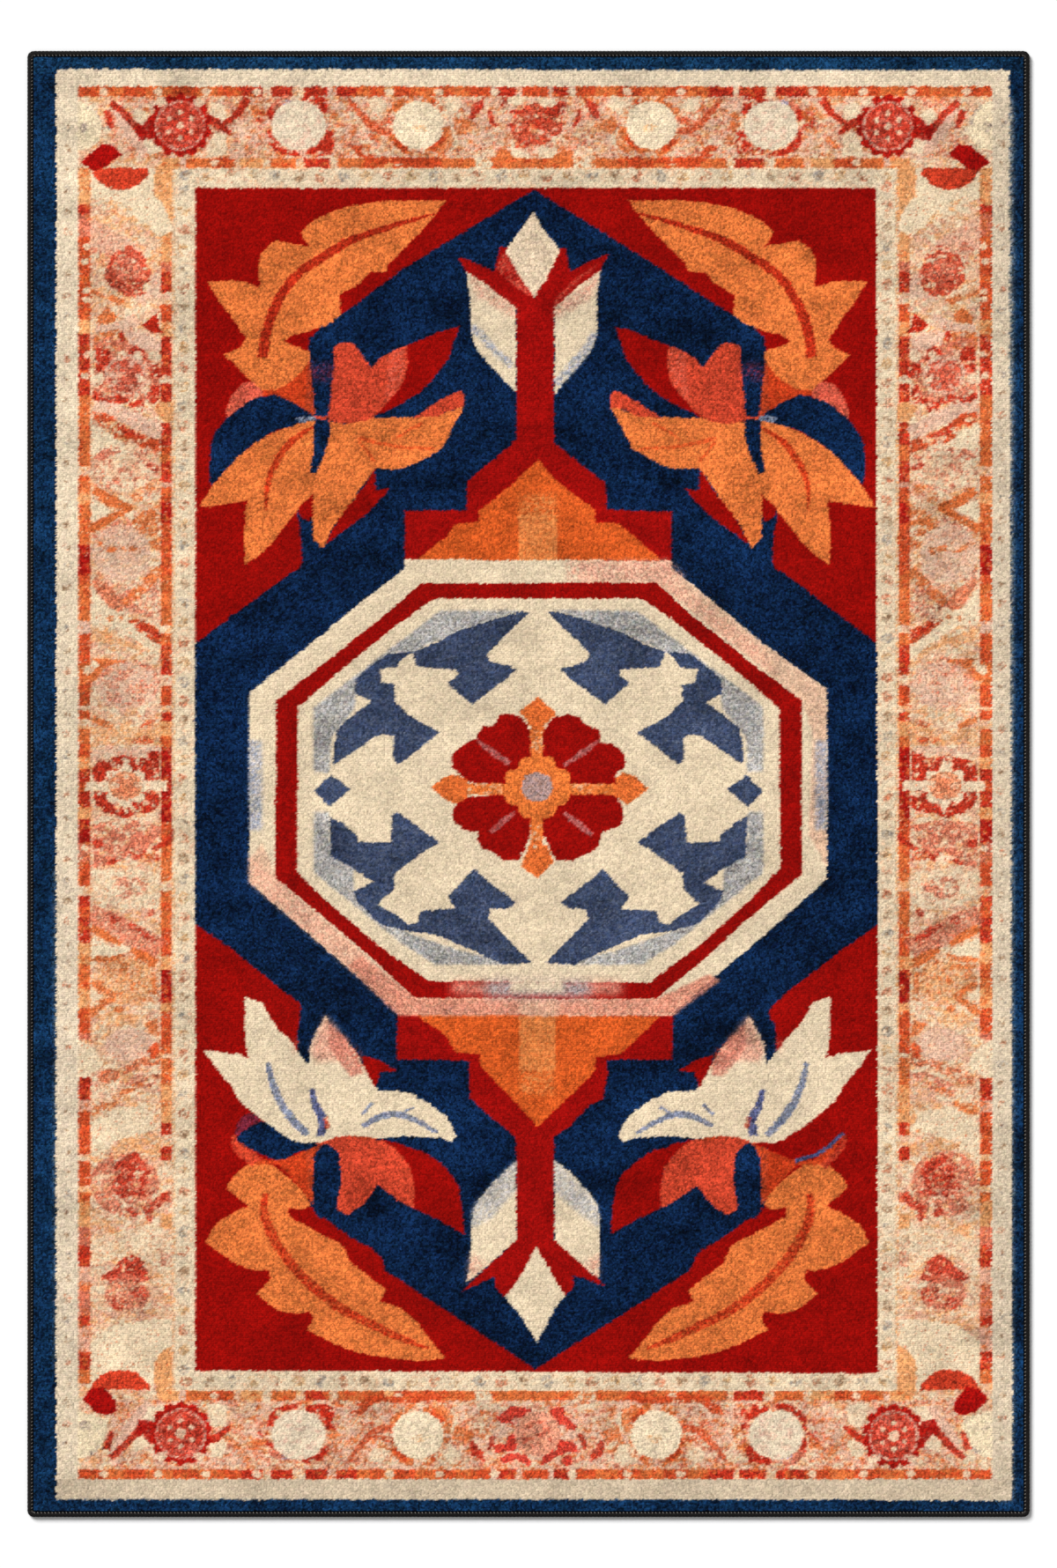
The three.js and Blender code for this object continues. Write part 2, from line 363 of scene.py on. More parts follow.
def paint(yarn, *paths, mix=1.0, soft=0.0, mirror=None, patchy=None):
    """Gives a yarn to the cells whose tufts stand inside the paths. A mix under 1 leaves some of the
    yarn that was there, unevenly from tuft to tuft. Patchy is the share of the area that is given
    the yarn in small patches. Mirror is the x of a line about which each path is drawn again."""
    colour = np.array(yarn, np.float32)
    if mirror is not None:
        paths += tuple(path * (-1, 1) + (2 * mirror, 0) for path in paths)
    for path in paths:
        low, high = path.min(0) - EDGE_REACH - 2 * soft, path.max(0) + EDGE_REACH + 2 * soft
        rows = slice(*np.searchsorted(chart_y, (low[1], high[1])))
        columns = slice(*np.searchsorted(chart_x, (low[0], high[0])))
        share = filled(path, stand_x[rows, columns], stand_y[rows, columns], soft)
        if mix < 1:
            share = share * np.clip(mix + MIX_SPREAD * (1 - mix) * blend[rows, columns], 0, 1)
        if patchy is not None:
            shift = int(colour[:3].sum())
            patches = np.roll(patch, (shift, 3 * shift), (0, 1))[rows, columns]
            share = share * np.clip(0.5 + PATCH_EDGE * (patches + 2 * patchy - 1), 0, 1)
        share = share[..., None]
        chart[rows, columns] = chart[rows, columns] * (1 - share) + colour * share


ROW = CELL_Y  # half of the way from one row of tufts to the next: every second line is a hollow
TUFT = 2.2  # from one tuft to the next in a row
ROW_DIP = 0.26  # how much lower the pile lies in the hollow between two rows
NAP = 0.12  # how unevenly the tufts are shorn
LEAN = 0.3  # how far tufts stand from their places
nap, lean_x, lean_y = haze(TUFT, ROW), haze(TUFT, ROW), haze(TUFT, ROW)
pile_pieces = []


def at_cells(raster, x, y):
    """The values of a chart raster at the places x, y, between its cells by their distances."""
    i = np.clip((y - chart_y[0]) / CELL_Y, 0, len(chart_y) - 1.001)
    j = np.clip((x - chart_x[0]) / CELL_X, 0, len(chart_x) - 1.001)
    row, column = i.astype(int), j.astype(int)
    down, along = i - row, j - column
    if raster.ndim == 3:
        down, along = down[..., None], along[..., None]
    low = raster[row, column] * (1 - along) + raster[row, column + 1] * along
    high = raster[row + 1, column] * (1 - along) + raster[row + 1, column + 1] * along
    return low * (1 - down) + high * down


def slab(name, x, y, top, base):
    """A closed slab on a grid: x, y and top are arrays of rows by columns, with y rising from row to
    row. Its sides drop to the height base. Its lower face is one strip for each row, so that it has
    every border point and no others."""
    rows, columns = x.shape
    index = np.arange(x.size).reshape(x.shape)
    edge = grid_border(index)
    lower = x.size + np.arange(len(edge))
    sides = np.stack([edge, lower, np.roll(lower, -1), np.roll(edge, -1)], -1)
    right = lower[columns - 1 : columns + rows - 1]
    far_left = 2 * columns + rows - 3
    left = np.concatenate([lower[:1], lower[: far_left - 1 : -1]])
    strips = np.stack([left[1:-2], left[2:-1], right[2:-1], right[1:-2]], -1)
    first = np.concatenate([left[1:2], right[1:2], lower[:columns][::-1]])
    last = np.concatenate([right[-2:-1], left[-2:-1], lower[columns + rows - 2 : far_left + 1][::-1]])
    points = np.concatenate([
        np.stack([x, y, top], -1).reshape(-1, 3),
        np.stack([x.ravel()[edge], y.ravel()[edge], np.full(len(edge), base)], -1),
    ])
    quads = np.concatenate([grid_faces(index), sides, strips])
    loops = np.concatenate([quads.ravel(), first, last])
    piece = make_mesh(name, points, loops, [*range(0, quads.size + 1, 4), quads.size + len(first)])
    flat = np.arange(len(quads) + 2) >= (rows - 1) * (columns - 1)
    piece.data.attributes.new("sharp_face", "BOOLEAN", "FACE").data.foreach_set("value", flat)
    ends = np.empty(2 * len(piece.data.edges), np.int32)
    piece.data.edges.foreach_get("vertices", ends)
    rim = np.isin(ends.reshape(-1, 2), edge).all(1)
    piece.data.attributes.new("sharp_edge", "BOOLEAN", "EDGE").data.foreach_set("value", rim)
    return piece


# Cut pile: each cell of a net is the end of one tuft, and near the edge of its cell a tuft falls away
# into a gap, which painted shade darkens. The colour is the dye, with its painted shade between rows,
# times one plus how strongly the strands differ times noise from tuft to tuft and from strand to
# strand, less the painted shade in the gaps.
GAP_SHADE = 0.24
TUFT_SWING = 2.8
STRAND_SWING = 6.0
STRAND_SCALE = 1400.0

taken = {"Dye_and_row_shade": "Color", "Difference": "Float"}
made = {"Colour": "Color", "Height": "Float", "Fuzz": "Float"}
cut_pile, given, result = new_group("cut_pile", taken, made)
place = add(cut_pile, "ShaderNodeTexCoord").outputs["Object"]
per_tuft = (1 / (TUFT * MM), 1 / (2 * ROW * MM), 1.0)
counted = add(cut_pile, "ShaderNodeMapping", {0: place, "Scale": per_tuft}).outputs[0]
net = {"Vector": counted, "Scale": 1.0, "Randomness": 0.7}
tufts = add(cut_pile, "ShaderNodeTexVoronoi", net, voronoi_dimensions="2D")
tuft_luck = add(cut_pile, "ShaderNodeSeparateColor", {0: tufts.outputs["Color"]}).outputs[0]
fine = {"Vector": place, "Scale": STRAND_SCALE, "Detail": 1.5}
strands = add(cut_pile, "ShaderNodeTexNoise", fine).outputs[0]
tuft_swing = maths(cut_pile, "MULTIPLY_ADD", tuft_luck, TUFT_SWING, -TUFT_SWING / 2)
strand_swing = maths(cut_pile, "MULTIPLY_ADD", strands, STRAND_SWING, -STRAND_SWING / 2)
swing = maths(cut_pile, "ADD", tuft_swing, strand_swing)
factor = maths(cut_pile, "MULTIPLY_ADD", swing, given.outputs["Difference"], 1.0 + 0.4 * GAP_SHADE)
# painted shade: darker where a tuft falls away into the gap at the edge of its cell
fallen = maths(cut_pile, "POWER", tufts.outputs["Distance"], 2.0)
factor = maths(cut_pile, "SUBTRACT", factor, maths(cut_pile, "MULTIPLY", fallen, 1.7 * GAP_SHADE))
factor = maths(cut_pile, "MAXIMUM", factor, 0.2)
scaled = {0: given.outputs["Dye_and_row_shade"], "Scale": factor}
dyed_and_shaded = add(cut_pile, "ShaderNodeVectorMath", scaled, operation="SCALE")
cut_pile.links.new(dyed_and_shaded.outputs[0], result.inputs["Colour"])
cut_pile.links.new(maths(cut_pile, "MULTIPLY_ADD", fallen, -1.2, strands), result.inputs["Height"])
cut_pile.links.new(maths(cut_pile, "MULTIPLY_ADD", strands, 0.2, 0.8), result.inputs["Fuzz"])


def pile_material(name, sheen):
    """Dyed cut-pile yarn, with painted shade between rows and between tufts. The dye is what the tufts
    hold, and its alpha is how the strands differ.
    """
    material, tree, bsdf = new_material(
        name, Sheen_Weight=sheen, Sheen_Roughness=0.6, Specular_IOR_Level=0.02
    )
    dye_and_row_shade = add(tree, "ShaderNodeAttribute", attribute_name="dye_and_row_shade")
    pile = add(tree, "ShaderNodeGroup", node_tree=cut_pile)
    tree.links.new(dye_and_row_shade.outputs["Color"], pile.inputs["Dye_and_row_shade"])
    tree.links.new(dye_and_row_shade.outputs["Alpha"], pile.inputs["Difference"])
    tree.links.new(pile.outputs["Colour"], bsdf.inputs["Base Color"])
    tree.links.new(pile.outputs["Fuzz"], bsdf.inputs["Roughness"])
    relief = {"Height": pile.outputs["Height"], "Distance": 0.6 * MM, "Strength": 0.5}
    bump = add(tree, "ShaderNodeBump", relief)
    tree.links.new(bump.outputs[0], bsdf.inputs["Normal"])
    return material


def upright(x):
    """A side that runs straight along the rug, as x in terms of y."""
    return lambda y: np.full_like(y, x)


def tuft(node, material, part="", left=None, right=None):
    """Stands cut tufts on the ground in place of a CAD node, in lines across it half a row apart.
    The lines run between the sides left and right, each x in terms of y, or else the node's own
    sides. The height is the shorn height, less the dip in a hollow, less the nap at each tuft."""
    low, high = (np.array(corner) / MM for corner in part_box(node))
    left = left or upright(low[0])
    right = right or upright(high[0])
    inner = chart_y[(chart_y > low[1] + ROW / 3) & (chart_y < high[1] - ROW / 3)]
    y = np.concatenate([[low[1]], inner, [high[1]]])
    sides = left(y), right(y)
    columns = int(np.ceil((sides[1] - sides[0]).max() / TUFT)) + 1
    x = sides[0][:, None] + (sides[1] - sides[0])[:, None] * np.linspace(0, 1, columns)
    y = np.broadcast_to(y[:, None], x.shape)
    free = np.zeros(x.shape)
    free[1:-1, 1:-1] = LEAN * np.minimum(1, (sides[1] - sides[0])[1:-1, None] / columns / TUFT)
    dip = ROW_DIP * (np.rint((y - chart_y[0]) / ROW) % 2)
    top = high[2] - dip - NAP * (1.2 - 0.5 * at_cells(nap, x, y).clip(-2, 2))
    x, y = x + free * at_cells(lean_x, x, y).clip(-1, 1), y + free * at_cells(lean_y, x, y).clip(-1, 1)
    piece = slab(node.replace("_pile", "_tufts") + part, x * MM, y * MM, top * MM, low[2] * MM)
    piece.data.materials.append(material)
    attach(piece, "root")
    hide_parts(node)
    pile_pieces.append(piece)


def tuft_ring(name, material):
    """Tufts the four strips of a band of the design."""
    for side in ("top", "bottom", "left", "right"):
        tuft(f"{name}_{side}_pile", material)


NAVY = (9, 31, 62, 0.5)
BORDER_NAVY = (11, 40, 71, 0.52)
END_NAVY = (15, 47, 77, 0.5)
navy_yarn = pile_material("navy_yarn", 0.02)

paint(BORDER_NAVY, box(-620, 620, -900, 900))
paint(END_NAVY, box(-620, 620, 850, 900))
tuft_ring("navy_border", navy_yarn)

# ---------------------------------------------------------------------------------------------------
# Ivory guard: an ivory band with a row of small faint flowers, tufted between the navy and the main
# border. Its right side and its bottom end are a little darker.

IVORY = (226, 206, 177, 0.14)
FLECK = (150, 112, 82, 0.2)
DUSK_IVORY = (202, 182, 155, 0.13)
SHADED_IVORY = (208, 189, 163, 0.14)
WORN_IVORY = (216, 196, 171, 0.14)
paint(IVORY, outline((-565, 855.5), (574.5, 853.5), (579, -857), (-565, -853.5)))
paint(DUSK_IVORY, box(-565, 579, -856, -831.5), mix=0.9)
paint(SHADED_IVORY, box(554, 579, -856, 820), mix=0.7, soft=3)
paint(WORN_IVORY, box(-565, -538, -700, -100), mix=0.5, soft=4)


def sprigs(tints, x, y, size, mix, patchy):
    """Small round flowers at the points x, y: a speckled disc and a darker eye or stroke, in tints
    taken in turn."""
    for k, at in enumerate(zip(x, y)):
        tint = tints[k % len(tints)]
        paint(tint, rounded(at, size, 0.8 * size, 40 * k), mix=mix, patchy=patchy)
        paint(FLECK,
            rounded((at[0] + 2 * np.sin(5 * k), at[1] + 2 * np.cos(3 * k)), 0.45 * size, 1.6, 70 * k),
            mix=0.55)


GREY_SPRIG = (146, 138, 130, 0.2)
TERRACOTTA = (190, 104, 72, 0.24)
OCHRE = (196, 144, 92, 0.2)
side_y = np.arange(-790, 800, 25.0)
for row_x, shift in ((-552.0, 0), (566.0, 6)):
    sprigs((GREY_SPRIG, TERRACOTTA, FLECK), np.full(len(side_y), row_x), side_y + shift, 6, 0.32, 0.35)

ivory_yarn = pile_material("ivory_yarn", 0.04)
tuft_ring("ivory_guard", ivory_yarn)

# ---------------------------------------------------------------------------------------------------
# Main border: the widest band, apricot and pink with red, with a rosette at each corner, cream discs
# between them, and slanting leaves and vines along the sides.

SIDE_AXIS = 8.0  # the line about which the two sides mirror each other
BORDER = box(-538.5, 554, -831.5, 834.5)
PEACH_GROUND = (224, 178, 142, 0.17)
PINK = (217, 160, 134, 0.2)
IVORY_GROUND = (231, 209, 175, 0.13)
FLAME = (196, 68, 32, 0.26)
TANGERINE = (208, 102, 50, 0.24)
APRICOT = (224, 154, 98, 0.2)
BLOOD = (160, 14, 9, 0.22)
CHERRY = (178, 40, 22, 0.3)
CREAM_RING = (230, 203, 170, 0.15)
ROSE_PINK = (202, 106, 80, 0.28)
SHELL = (221, 178, 154, 0.18)
EMBER = (206, 84, 36, 0.25)
BRICK = (190, 62, 40, 0.3)
SALMON = (212, 118, 92, 0.3)
RUST = (190, 76, 54, 0.32)
CLAY = (206, 112, 78, 0.3)
MELON = (214, 130, 90, 0.3)
COPPER = (202, 104, 66, 0.3)
MADDER = (180, 48, 30, 0.32)
GARNET = (184, 50, 32, 0.32)
VERMILION = (204, 62, 36, 0.26)
CARMINE = (165, 12, 8, 0.22)
PALE_CREAM = (234, 212, 176, 0.16)
ASH = (152, 132, 124, 0.3)
CRIMSON = (168, 24, 14, 0.26)
HEART_RED = (190, 56, 38, 0.3)
HEART_PINK = (214, 108, 88, 0.3)
BLOCK_RED = (180, 36, 18, 0.26)
LILAC = (172, 166, 190, 0.25)
DISC_CREAM = (233, 211, 178, 0.16)
RUSSET = (190, 66, 42, 0.34)
POPPY = (200, 54, 40, 0.3)
PEACH_PINK = (224, 148, 118, 0.28)
DUSKY_CORAL = (206, 92, 66, 0.3)

paint(PEACH_GROUND, BORDER)
paint(PINK, BORDER, patchy=0.36, mix=0.8)
paint(IVORY_GROUND, BORDER, patchy=0.36, mix=0.9)
paint(APRICOT, BORDER, patchy=0.16, mix=0.7)
for low, high in ((748, 822), (-820, -737)):
    paint(ROSE_PINK, box(-500, 515, low, high), patchy=0.22, mix=0.75)
    paint(TANGERINE, box(-500, 515, low, high), patchy=0.13, mix=0.75)
    paint(SHELL, box(-500, 515, low, high), patchy=0.3, mix=0.8)


def paint_sides(yarn, *paths, **how):
    """Paints in the left side of the border, and in mirror image in the right one."""
    paint(yarn, *paths, mirror=SIDE_AXIS, **how)


def around(centre, radius, turns, radius_y=None):
    """Points on an ellipse at the given turns, in radians."""
    return centre + np.stack([radius * np.cos(turns), (radius_y or radius) * np.sin(turns)], -1)


def stripe(low, high, start, *blocks, across=False, mirror=None):
    """A narrow stripe of blocks laid end to end from start. Each block is the place where it ends
    and its yarn, or None where the ground shows. It runs along the rug, or across it."""
    for end, yarn in blocks:
        if yarn is not None:
            first, last = min(start, end), max(start, end)
            block = box(first, last, low, high) if across else box(low, high, first, last)
            paint(yarn, block, mix=0.95, mirror=mirror)
            paint(FLAME if yarn is TANGERINE else TANGERINE, block, patchy=0.12, mix=0.7, mirror=mirror)
        start = end


# Sides: the outer stripe and the inner stripe, from the top down
stripe(-538.5, -524, 737, (693, APRICOT), (682, CHERRY), (655, ROSE_PINK), (608, FLAME), (600, EMBER),
    (555, FLAME), (538, APRICOT), (465, CHERRY), (380, TANGERINE), (369, None), (348, TANGERINE),
    (335, APRICOT), (286, TANGERINE), (250, BLOOD), (240, FLAME), (195, TANGERINE), (180, SHELL),
    (145, FLAME), (118, TANGERINE), (93, FLAME), (88, None), (77, FLAME), (66, None), (48, TANGERINE),
    (32, FLAME), (18, APRICOT), (2, CHERRY), (-9, FLAME), (-28, CHERRY), (-42, APRICOT), (-70, BLOOD),
    (-94, ROSE_PINK), (-122, FLAME), (-134, None), (-148, CHERRY), (-160, FLAME), (-190, CHERRY),
    (-215, APRICOT), (-245, TANGERINE), (-268, APRICOT), (-298, FLAME), (-306, ROSE_PINK), (-351, None),
    (-378, CHERRY), (-392, PINK), (-443, FLAME), (-451, None), (-481, FLAME), (-488, None),
    (-500, TANGERINE), (-530, APRICOT), (-552, ROSE_PINK), (-578, CHERRY), (-600, PINK), (-636, ROSE_PINK),
    (-648, CHERRY), (-679, PINK), (-700, CHERRY), (-717, TANGERINE), mirror=SIDE_AXIS)
stripe(-440, -427, 748, (700, APRICOT), (692, TANGERINE), (660, None), (625, APRICOT), (612, ROSE_PINK),
    (588, CHERRY), (574, None), (553, FLAME), (535, APRICOT), (484, CHERRY), (479, None), (457, CHERRY),
    (432, None), (405, CHERRY), (386, TANGERINE), (361, CHERRY), (355, PINK), (337, FLAME), (312, BLOOD),
    (250, FLAME), (190, TANGERINE), (180, None), (166, TANGERINE), (130, CHERRY), (117, None), (94, FLAME),
    (86, None), (75, CHERRY), (58, APRICOT), (44, TANGERINE), (2, BLOOD), (-8, CHERRY), (-46, BLOOD),
    (-74, FLAME), (-116, TANGERINE), (-128, None), (-172, TANGERINE), (-206, FLAME), (-222, APRICOT),
    (-262, BLOOD), (-272, APRICOT), (-322, FLAME), (-328, None), (-360, TANGERINE), (-405, APRICOT),
    (-420, CHERRY), (-434, None), (-450, CHERRY), (-488, None), (-500, ROSE_PINK), (-514, None),
    (-532, APRICOT), (-560, None), (-577, ROSE_PINK), mirror=SIDE_AXIS)
paint_sides(IVORY_GROUND, *(rounded(at, 5, 4) for at in ((-528, 643), (-531, 625), (-529, 590), (-529, 580),
        (-528, 514), (-528, 138), (-528, 134), (-530, -77), (-530, 488), (-516, 487))), mix=0.85)

# Sides, upper half from the corner down
paint_sides(IVORY_GROUND, outline((-523, 737), (-523, 700), (-490, 690), (-441, 655), (-427, 662),
        (-427, 700), [(-448, 705)], (-446, 737)), mix=0.92)
paint_sides(APRICOT, band([(-510, 700), (-485, 690), (-462, 670), (-448, 655)], 6, 8, 6), mix=0.4,
    patchy=0.6)
paint_sides(APRICOT, outline((-447, 738), (-448, 703), [(-436, 692)], (-426, 668), (-426, 748)), mix=0.9)
paint_sides(PINK, outline((-524, 678), (-498, 664), (-462, 640), (-500, 632), (-524, 640)), mix=0.7)
paint_sides(ROSE_PINK, outline((-524, 642), (-506, 652), (-498, 640), (-508, 618), (-521, 625)),
    patchy=0.35, mix=0.8)
paint_sides(BRICK, outline((-507, 612), (-500, 632), (-490, 640), (-476, 645), (-460, 634), (-458, 624),
        (-452, 614), (-453, 600), (-458, 588), (-470, 581), (-484, 584), (-496, 592), (-506, 602)),
    mix=0.88, patchy=0.88)
paint_sides(SALMON, outline((-497, 628), (-480, 630), (-462, 618), (-460, 606), (-480, 601), (-492, 606)),
    mix=0.75, patchy=0.7)
paint_sides(SHELL,
    outline((-448, 612), (-440, 604), (-440, 582), (-456, 580), (-462, 572), (-476, 580), (-455, 588)),
    mix=0.7)
paint_sides(TANGERINE, outline((-516, 558), (-504, 571), (-492, 560), (-494, 553), (-515, 550)), mix=0.9)
paint_sides(TANGERINE, outline((-500, 586), (-482, 578), (-490, 572), (-503, 580)),
    band([(-524, 590), (-508, 583)], 5), mix=0.8)
paint_sides(SHELL, band([(-518, 545), (-495, 545), (-468, 556)], 10, 12, 16), mix=0.8)
paint_sides(CHERRY, outline((-463, 549), (-445, 563), (-441, 545), (-425, 528), (-436, 540), (-452, 540)))
# Rosette in a mottled red frame
paint_sides(TANGERINE, outline((-521, 540), (-490, 543), (-478, 530), (-490, 520), (-521, 518)), mix=0.85,
    patchy=0.7)
paint_sides(ROSE_PINK,
    outline((-519, 532), (-492, 536), (-470, 524), (-442, 520), (-441, 466), (-470, 452), (-521, 466)),
    mix=0.85, patchy=0.7)
paint_sides(SHELL, outline((-482, 540), (-455, 540), (-441, 528), (-443, 518), (-462, 520), (-478, 526)),
    mix=0.85)
paint_sides(CHERRY, outline((-518, 522), (-503, 523), (-499, 510), (-508, 492), (-518, 493)),
    rounded((-486, 535), 4, 6),
    outline((-480, 516), [(-470, 524)], (-460, 519), (-458, 508), (-463, 506), (-466, 515), (-478, 512)),
    outline((-454, 503), (-441, 502), (-440, 486), (-452, 486)),
    outline((-498, 505), (-484, 508), (-462, 502), (-464, 497), (-490, 500)), mix=0.93, patchy=0.9)
paint_sides(SHELL, rounded((-481, 490), 26, 24), mix=0.6)
paint_sides(RUST, rounded((-482, 488), 22, 20), mix=0.9, patchy=0.88)
paint_sides(SHELL, *(rounded(at, 3) for at in around((-482, 488), 15, np.arange(0, 6.2, 1.05), 14)),
    mix=0.6)
paint_sides(CHERRY, outline((-521, 470), (-505, 462), (-490, 466), (-470, 458), (-455, 462), (-450, 478),
        (-441, 476), (-443, 456), (-458, 454), (-464, 444), (-473, 446), (-478, 455), (-500, 454),
        (-521, 460)), mix=0.92, patchy=0.8)
paint_sides(IVORY_GROUND, rounded((-447, 512), 8, 7), rounded((-516, 484), 9, 6),
    rounded((-434, 484), 8, 5), rounded((-467, 513), 5, 6), rounded((-464, 484), 4), mix=0.8)
paint_sides(APRICOT, rounded((-432, 445), 12, 12), rounded((-436, 449), 12, 8), mix=0.9)
# Slanting leaves under it
paint_sides(SHELL, band([(-520, 452), (-490, 444), (-440, 418)], 14, 18, 18), mix=0.85)
paint_sides(FLAME, outline((-521, 446), (-502, 442), (-478, 424), (-462, 419), (-441, 411), (-441, 395),
        (-462, 402), (-476, 412), (-482, 408), (-494, 412), (-498, 422), (-520, 433)), mix=0.92,
    patchy=0.86)
paint_sides(CHERRY, outline((-492, 432), (-470, 422), (-460, 412), (-478, 416), (-492, 420)), mix=0.8,
    patchy=0.7)
paint_sides(IVORY_GROUND, outline((-523, 432), (-500, 418), (-485, 408), (-505, 400), (-523, 393)), mix=0.9)
paint_sides(IVORY_GROUND, rounded((-482, 378), 36, 27), mix=0.62)
paint_sides(PEACH_GROUND, rounded((-480, 377), 24, 17), patchy=0.6)
paint_sides(ROSE_PINK, box(-521, -442, 340, 402), patchy=0.2, mix=0.55)
paint_sides(ROSE_PINK, outline((-521, 389), (-508, 387), (-486, 398), (-490, 403), (-508, 402)), mix=0.8,
    patchy=0.85)
paint_sides(CHERRY, rounded((-449, 379), 9, 4, -30), mix=0.7, patchy=0.8)
paint_sides(TANGERINE, rounded((-452, 354), 7, 5), rounded((-468, 343), 7, 5, -30), mix=0.6)
paint_sides(TANGERINE, band([(-519, 352), (-498, 338), (-474, 331)], 10, 14, 6),
    band([(-474, 331), (-498, 319), (-524, 304)], 7, 9, 12), mix=0.95)
paint_sides(IVORY_GROUND, outline((-523, 341), (-496, 328), (-523, 314)))
paint_sides(ROSE_PINK,
    outline((-522, 300), (-500, 310), (-482, 322), (-474, 312), (-480, 296), (-520, 290)), patchy=0.6,
    mix=0.7)
paint_sides(TANGERINE,
    outline((-440, 335), (-462, 326), (-476, 314), (-468, 300), (-448, 296), (-440, 305)), patchy=0.74,
    mix=0.85)
paint_sides(SHELL, rounded((-487, 276), 35, 34), mix=0.6)
paint_sides(ROSE_PINK, outline((-521, 260), (-500, 240), (-470, 236), (-455, 250), (-441, 230), (-441, 196),
        (-480, 206), (-500, 208), (-518, 232)), patchy=0.5, mix=0.7)
paint_sides(CLAY,
    outline((-521, 248), (-500, 236), (-482, 214), (-490, 208), (-500, 210), (-513, 228), (-521, 240)),
    mix=0.85)
paint_sides(TANGERINE, band([(-518, 290), (-500, 281), (-480, 282), (-464, 278)], 4, 7, 7, 8),
    outline((-456, 290), (-440, 296), (-440, 280), (-450, 282)), mix=0.8, patchy=0.85)
paint_sides(TANGERINE, band([(-484, 216), (-465, 232), (-438, 258)], 10, 14, 14), mix=0.85, patchy=0.8)
paint_sides(IVORY_GROUND, outline((-523, 236), (-505, 212), (-478, 200), (-441, 168), (-441, 150),
        (-470, 172), (-500, 190), (-523, 190)), mix=0.9)
paint_sides(FLAME, outline((-481, 196), (-466, 198), (-441, 184), (-440, 166), (-452, 172), (-468, 184)),
    mix=0.92, patchy=0.9)
paint_sides(CHERRY, band([(-470, 192), (-455, 184), (-441, 176)], 5, 7, 6), mix=0.7)
paint_sides(TANGERINE, rounded((-500, 198), 4), rounded((-487, 200), 3), mix=0.7)
paint_sides(APRICOT, outline((-523, 188), (-480, 172), (-450, 156), (-480, 164), (-523, 172)), mix=0.6)
paint_sides(TANGERINE,
    outline((-524, 151), (-482, 148), (-496, 139), (-512, 126), (-524, 122), (-524, 132), (-512, 142)),
    mix=0.9)
paint_sides(SHELL, rounded((-480, 118), 38, 28), mix=0.65)
paint_sides(ROSE_PINK, rounded((-480, 122), 40, 30), patchy=0.16, mix=0.6)
paint_sides(TANGERINE, band([(-521, 78), (-498, 68)], 8, 8), mix=0.8)
paint_sides(APRICOT, outline((-522, 68), (-480, 64), (-440, 76), (-440, 46), (-522, 48)), mix=0.5)
paint_sides(FLAME, rounded((-462, 52), 14, 5), rounded((-455, 72), 10, 4, 20), mix=0.45)

# Middle rosette of a side
paint_sides(SHELL, box(-523, -441, 34, 44), mix=0.5)
paint_sides(CHERRY, outline((-521, 18), (-516, 27), (-498, 32), [(-483, 34)], (-466, 30), (-457, 38),
        (-442, 39), (-442, 6), (-452, 0), (-448, -8), (-441, -14), (-442, -28), (-456, -36), (-468, -34),
        [(-483, -41)], (-497, -36), (-509, -34), (-516, -26), (-521, -16), (-519, -9), (-508, -9),
        (-508, 0), (-521, 2)), mix=0.94, patchy=0.92)
paint_sides(CREAM_RING,
    *(rounded(at, 8, 7) for at in around((-482, -3), 21, np.arange(0, 6.2, np.pi / 4), 18)))
paint_sides(CREAM_RING, box(-530, -505, -8, 3), box(-460, -432, -8, 4),
    outline((-486, 20), (-482, 32), (-477, 20)), outline((-486, -24), (-481, -38), (-477, -24)))
paint_sides(MELON, rounded((-482, -2), 20, 17), mix=0.9)
paint_sides(CREAM_RING, rounded((-495, -2), 6, 4), rounded((-466, 0), 6, 4), rounded((-482, 9), 4, 3),
    mix=0.55)
paint_sides(CREAM_RING, rounded((-502, 34), 7, 3), rounded((-461, 34), 6, 3), rounded((-481, -45), 5, 4),
    rounded((-507, -41), 8, 3), rounded((-458, -42), 9, 3), mix=0.8)

# Sides, lower half from the rosette down
paint_sides(ROSE_PINK,
    outline((-522, -48), (-482, -42), (-440, -50), (-440, -60), (-470, -92), (-520, -100)), patchy=0.8,
    mix=0.88)
paint_sides(CHERRY,
    outline((-480, -78), (-468, -84), (-460, -78), (-442, -84), (-440, -92), (-462, -92), (-478, -86)),
    patchy=0.7, mix=0.7)
paint_sides(CHERRY, rounded((-515, -71), 7, 5),
    outline((-452, -78), (-430, -62), (-426, -52), (-426, -68), (-445, -80)),
    rounded((-498, -93), 7, 3, 20), rounded((-468, -88), 6, 3, 50), mix=0.8)
paint_sides(IVORY_GROUND, outline((-485, -98), (-477, -80), (-468, -98)),
    outline((-523, -104), (-480, -100), (-441, -108), (-441, -146), (-480, -152), (-523, -136)), mix=0.55)
paint_sides(TANGERINE, band([(-462, -85), (-446, -88)], 6, 8), mix=0.5)
paint_sides(ROSE_PINK, rounded((-478, -124), 22, 14), patchy=0.45, mix=0.7)
paint_sides(ROSE_PINK, band([(-524, -155), (-490, -172), (-441, -200)], 22, 28, 30), mix=0.7)
paint_sides(CHERRY, band([(-478, -168), (-462, -178), (-446, -189)], 6, 9, 5), rounded((-495, -162), 7, 5),
    rounded((-452, -154), 6, 4, 30), mix=0.65)
paint_sides(TANGERINE, band([(-523, -172), (-505, -182), (-488, -192)], 9, 11, 5),
    band([(-476, -198), (-460, -206), (-446, -216)], 5, 12, 12), mix=0.92)
paint_sides(IVORY_GROUND, outline((-523, -184), (-500, -194), (-478, -201), (-500, -206), (-523, -210)))
paint_sides(APRICOT, rounded((-483, -236), 34, 28), mix=0.55)
paint_sides(TANGERINE, box(-521, -442, -262, -205), patchy=0.2, mix=0.6)
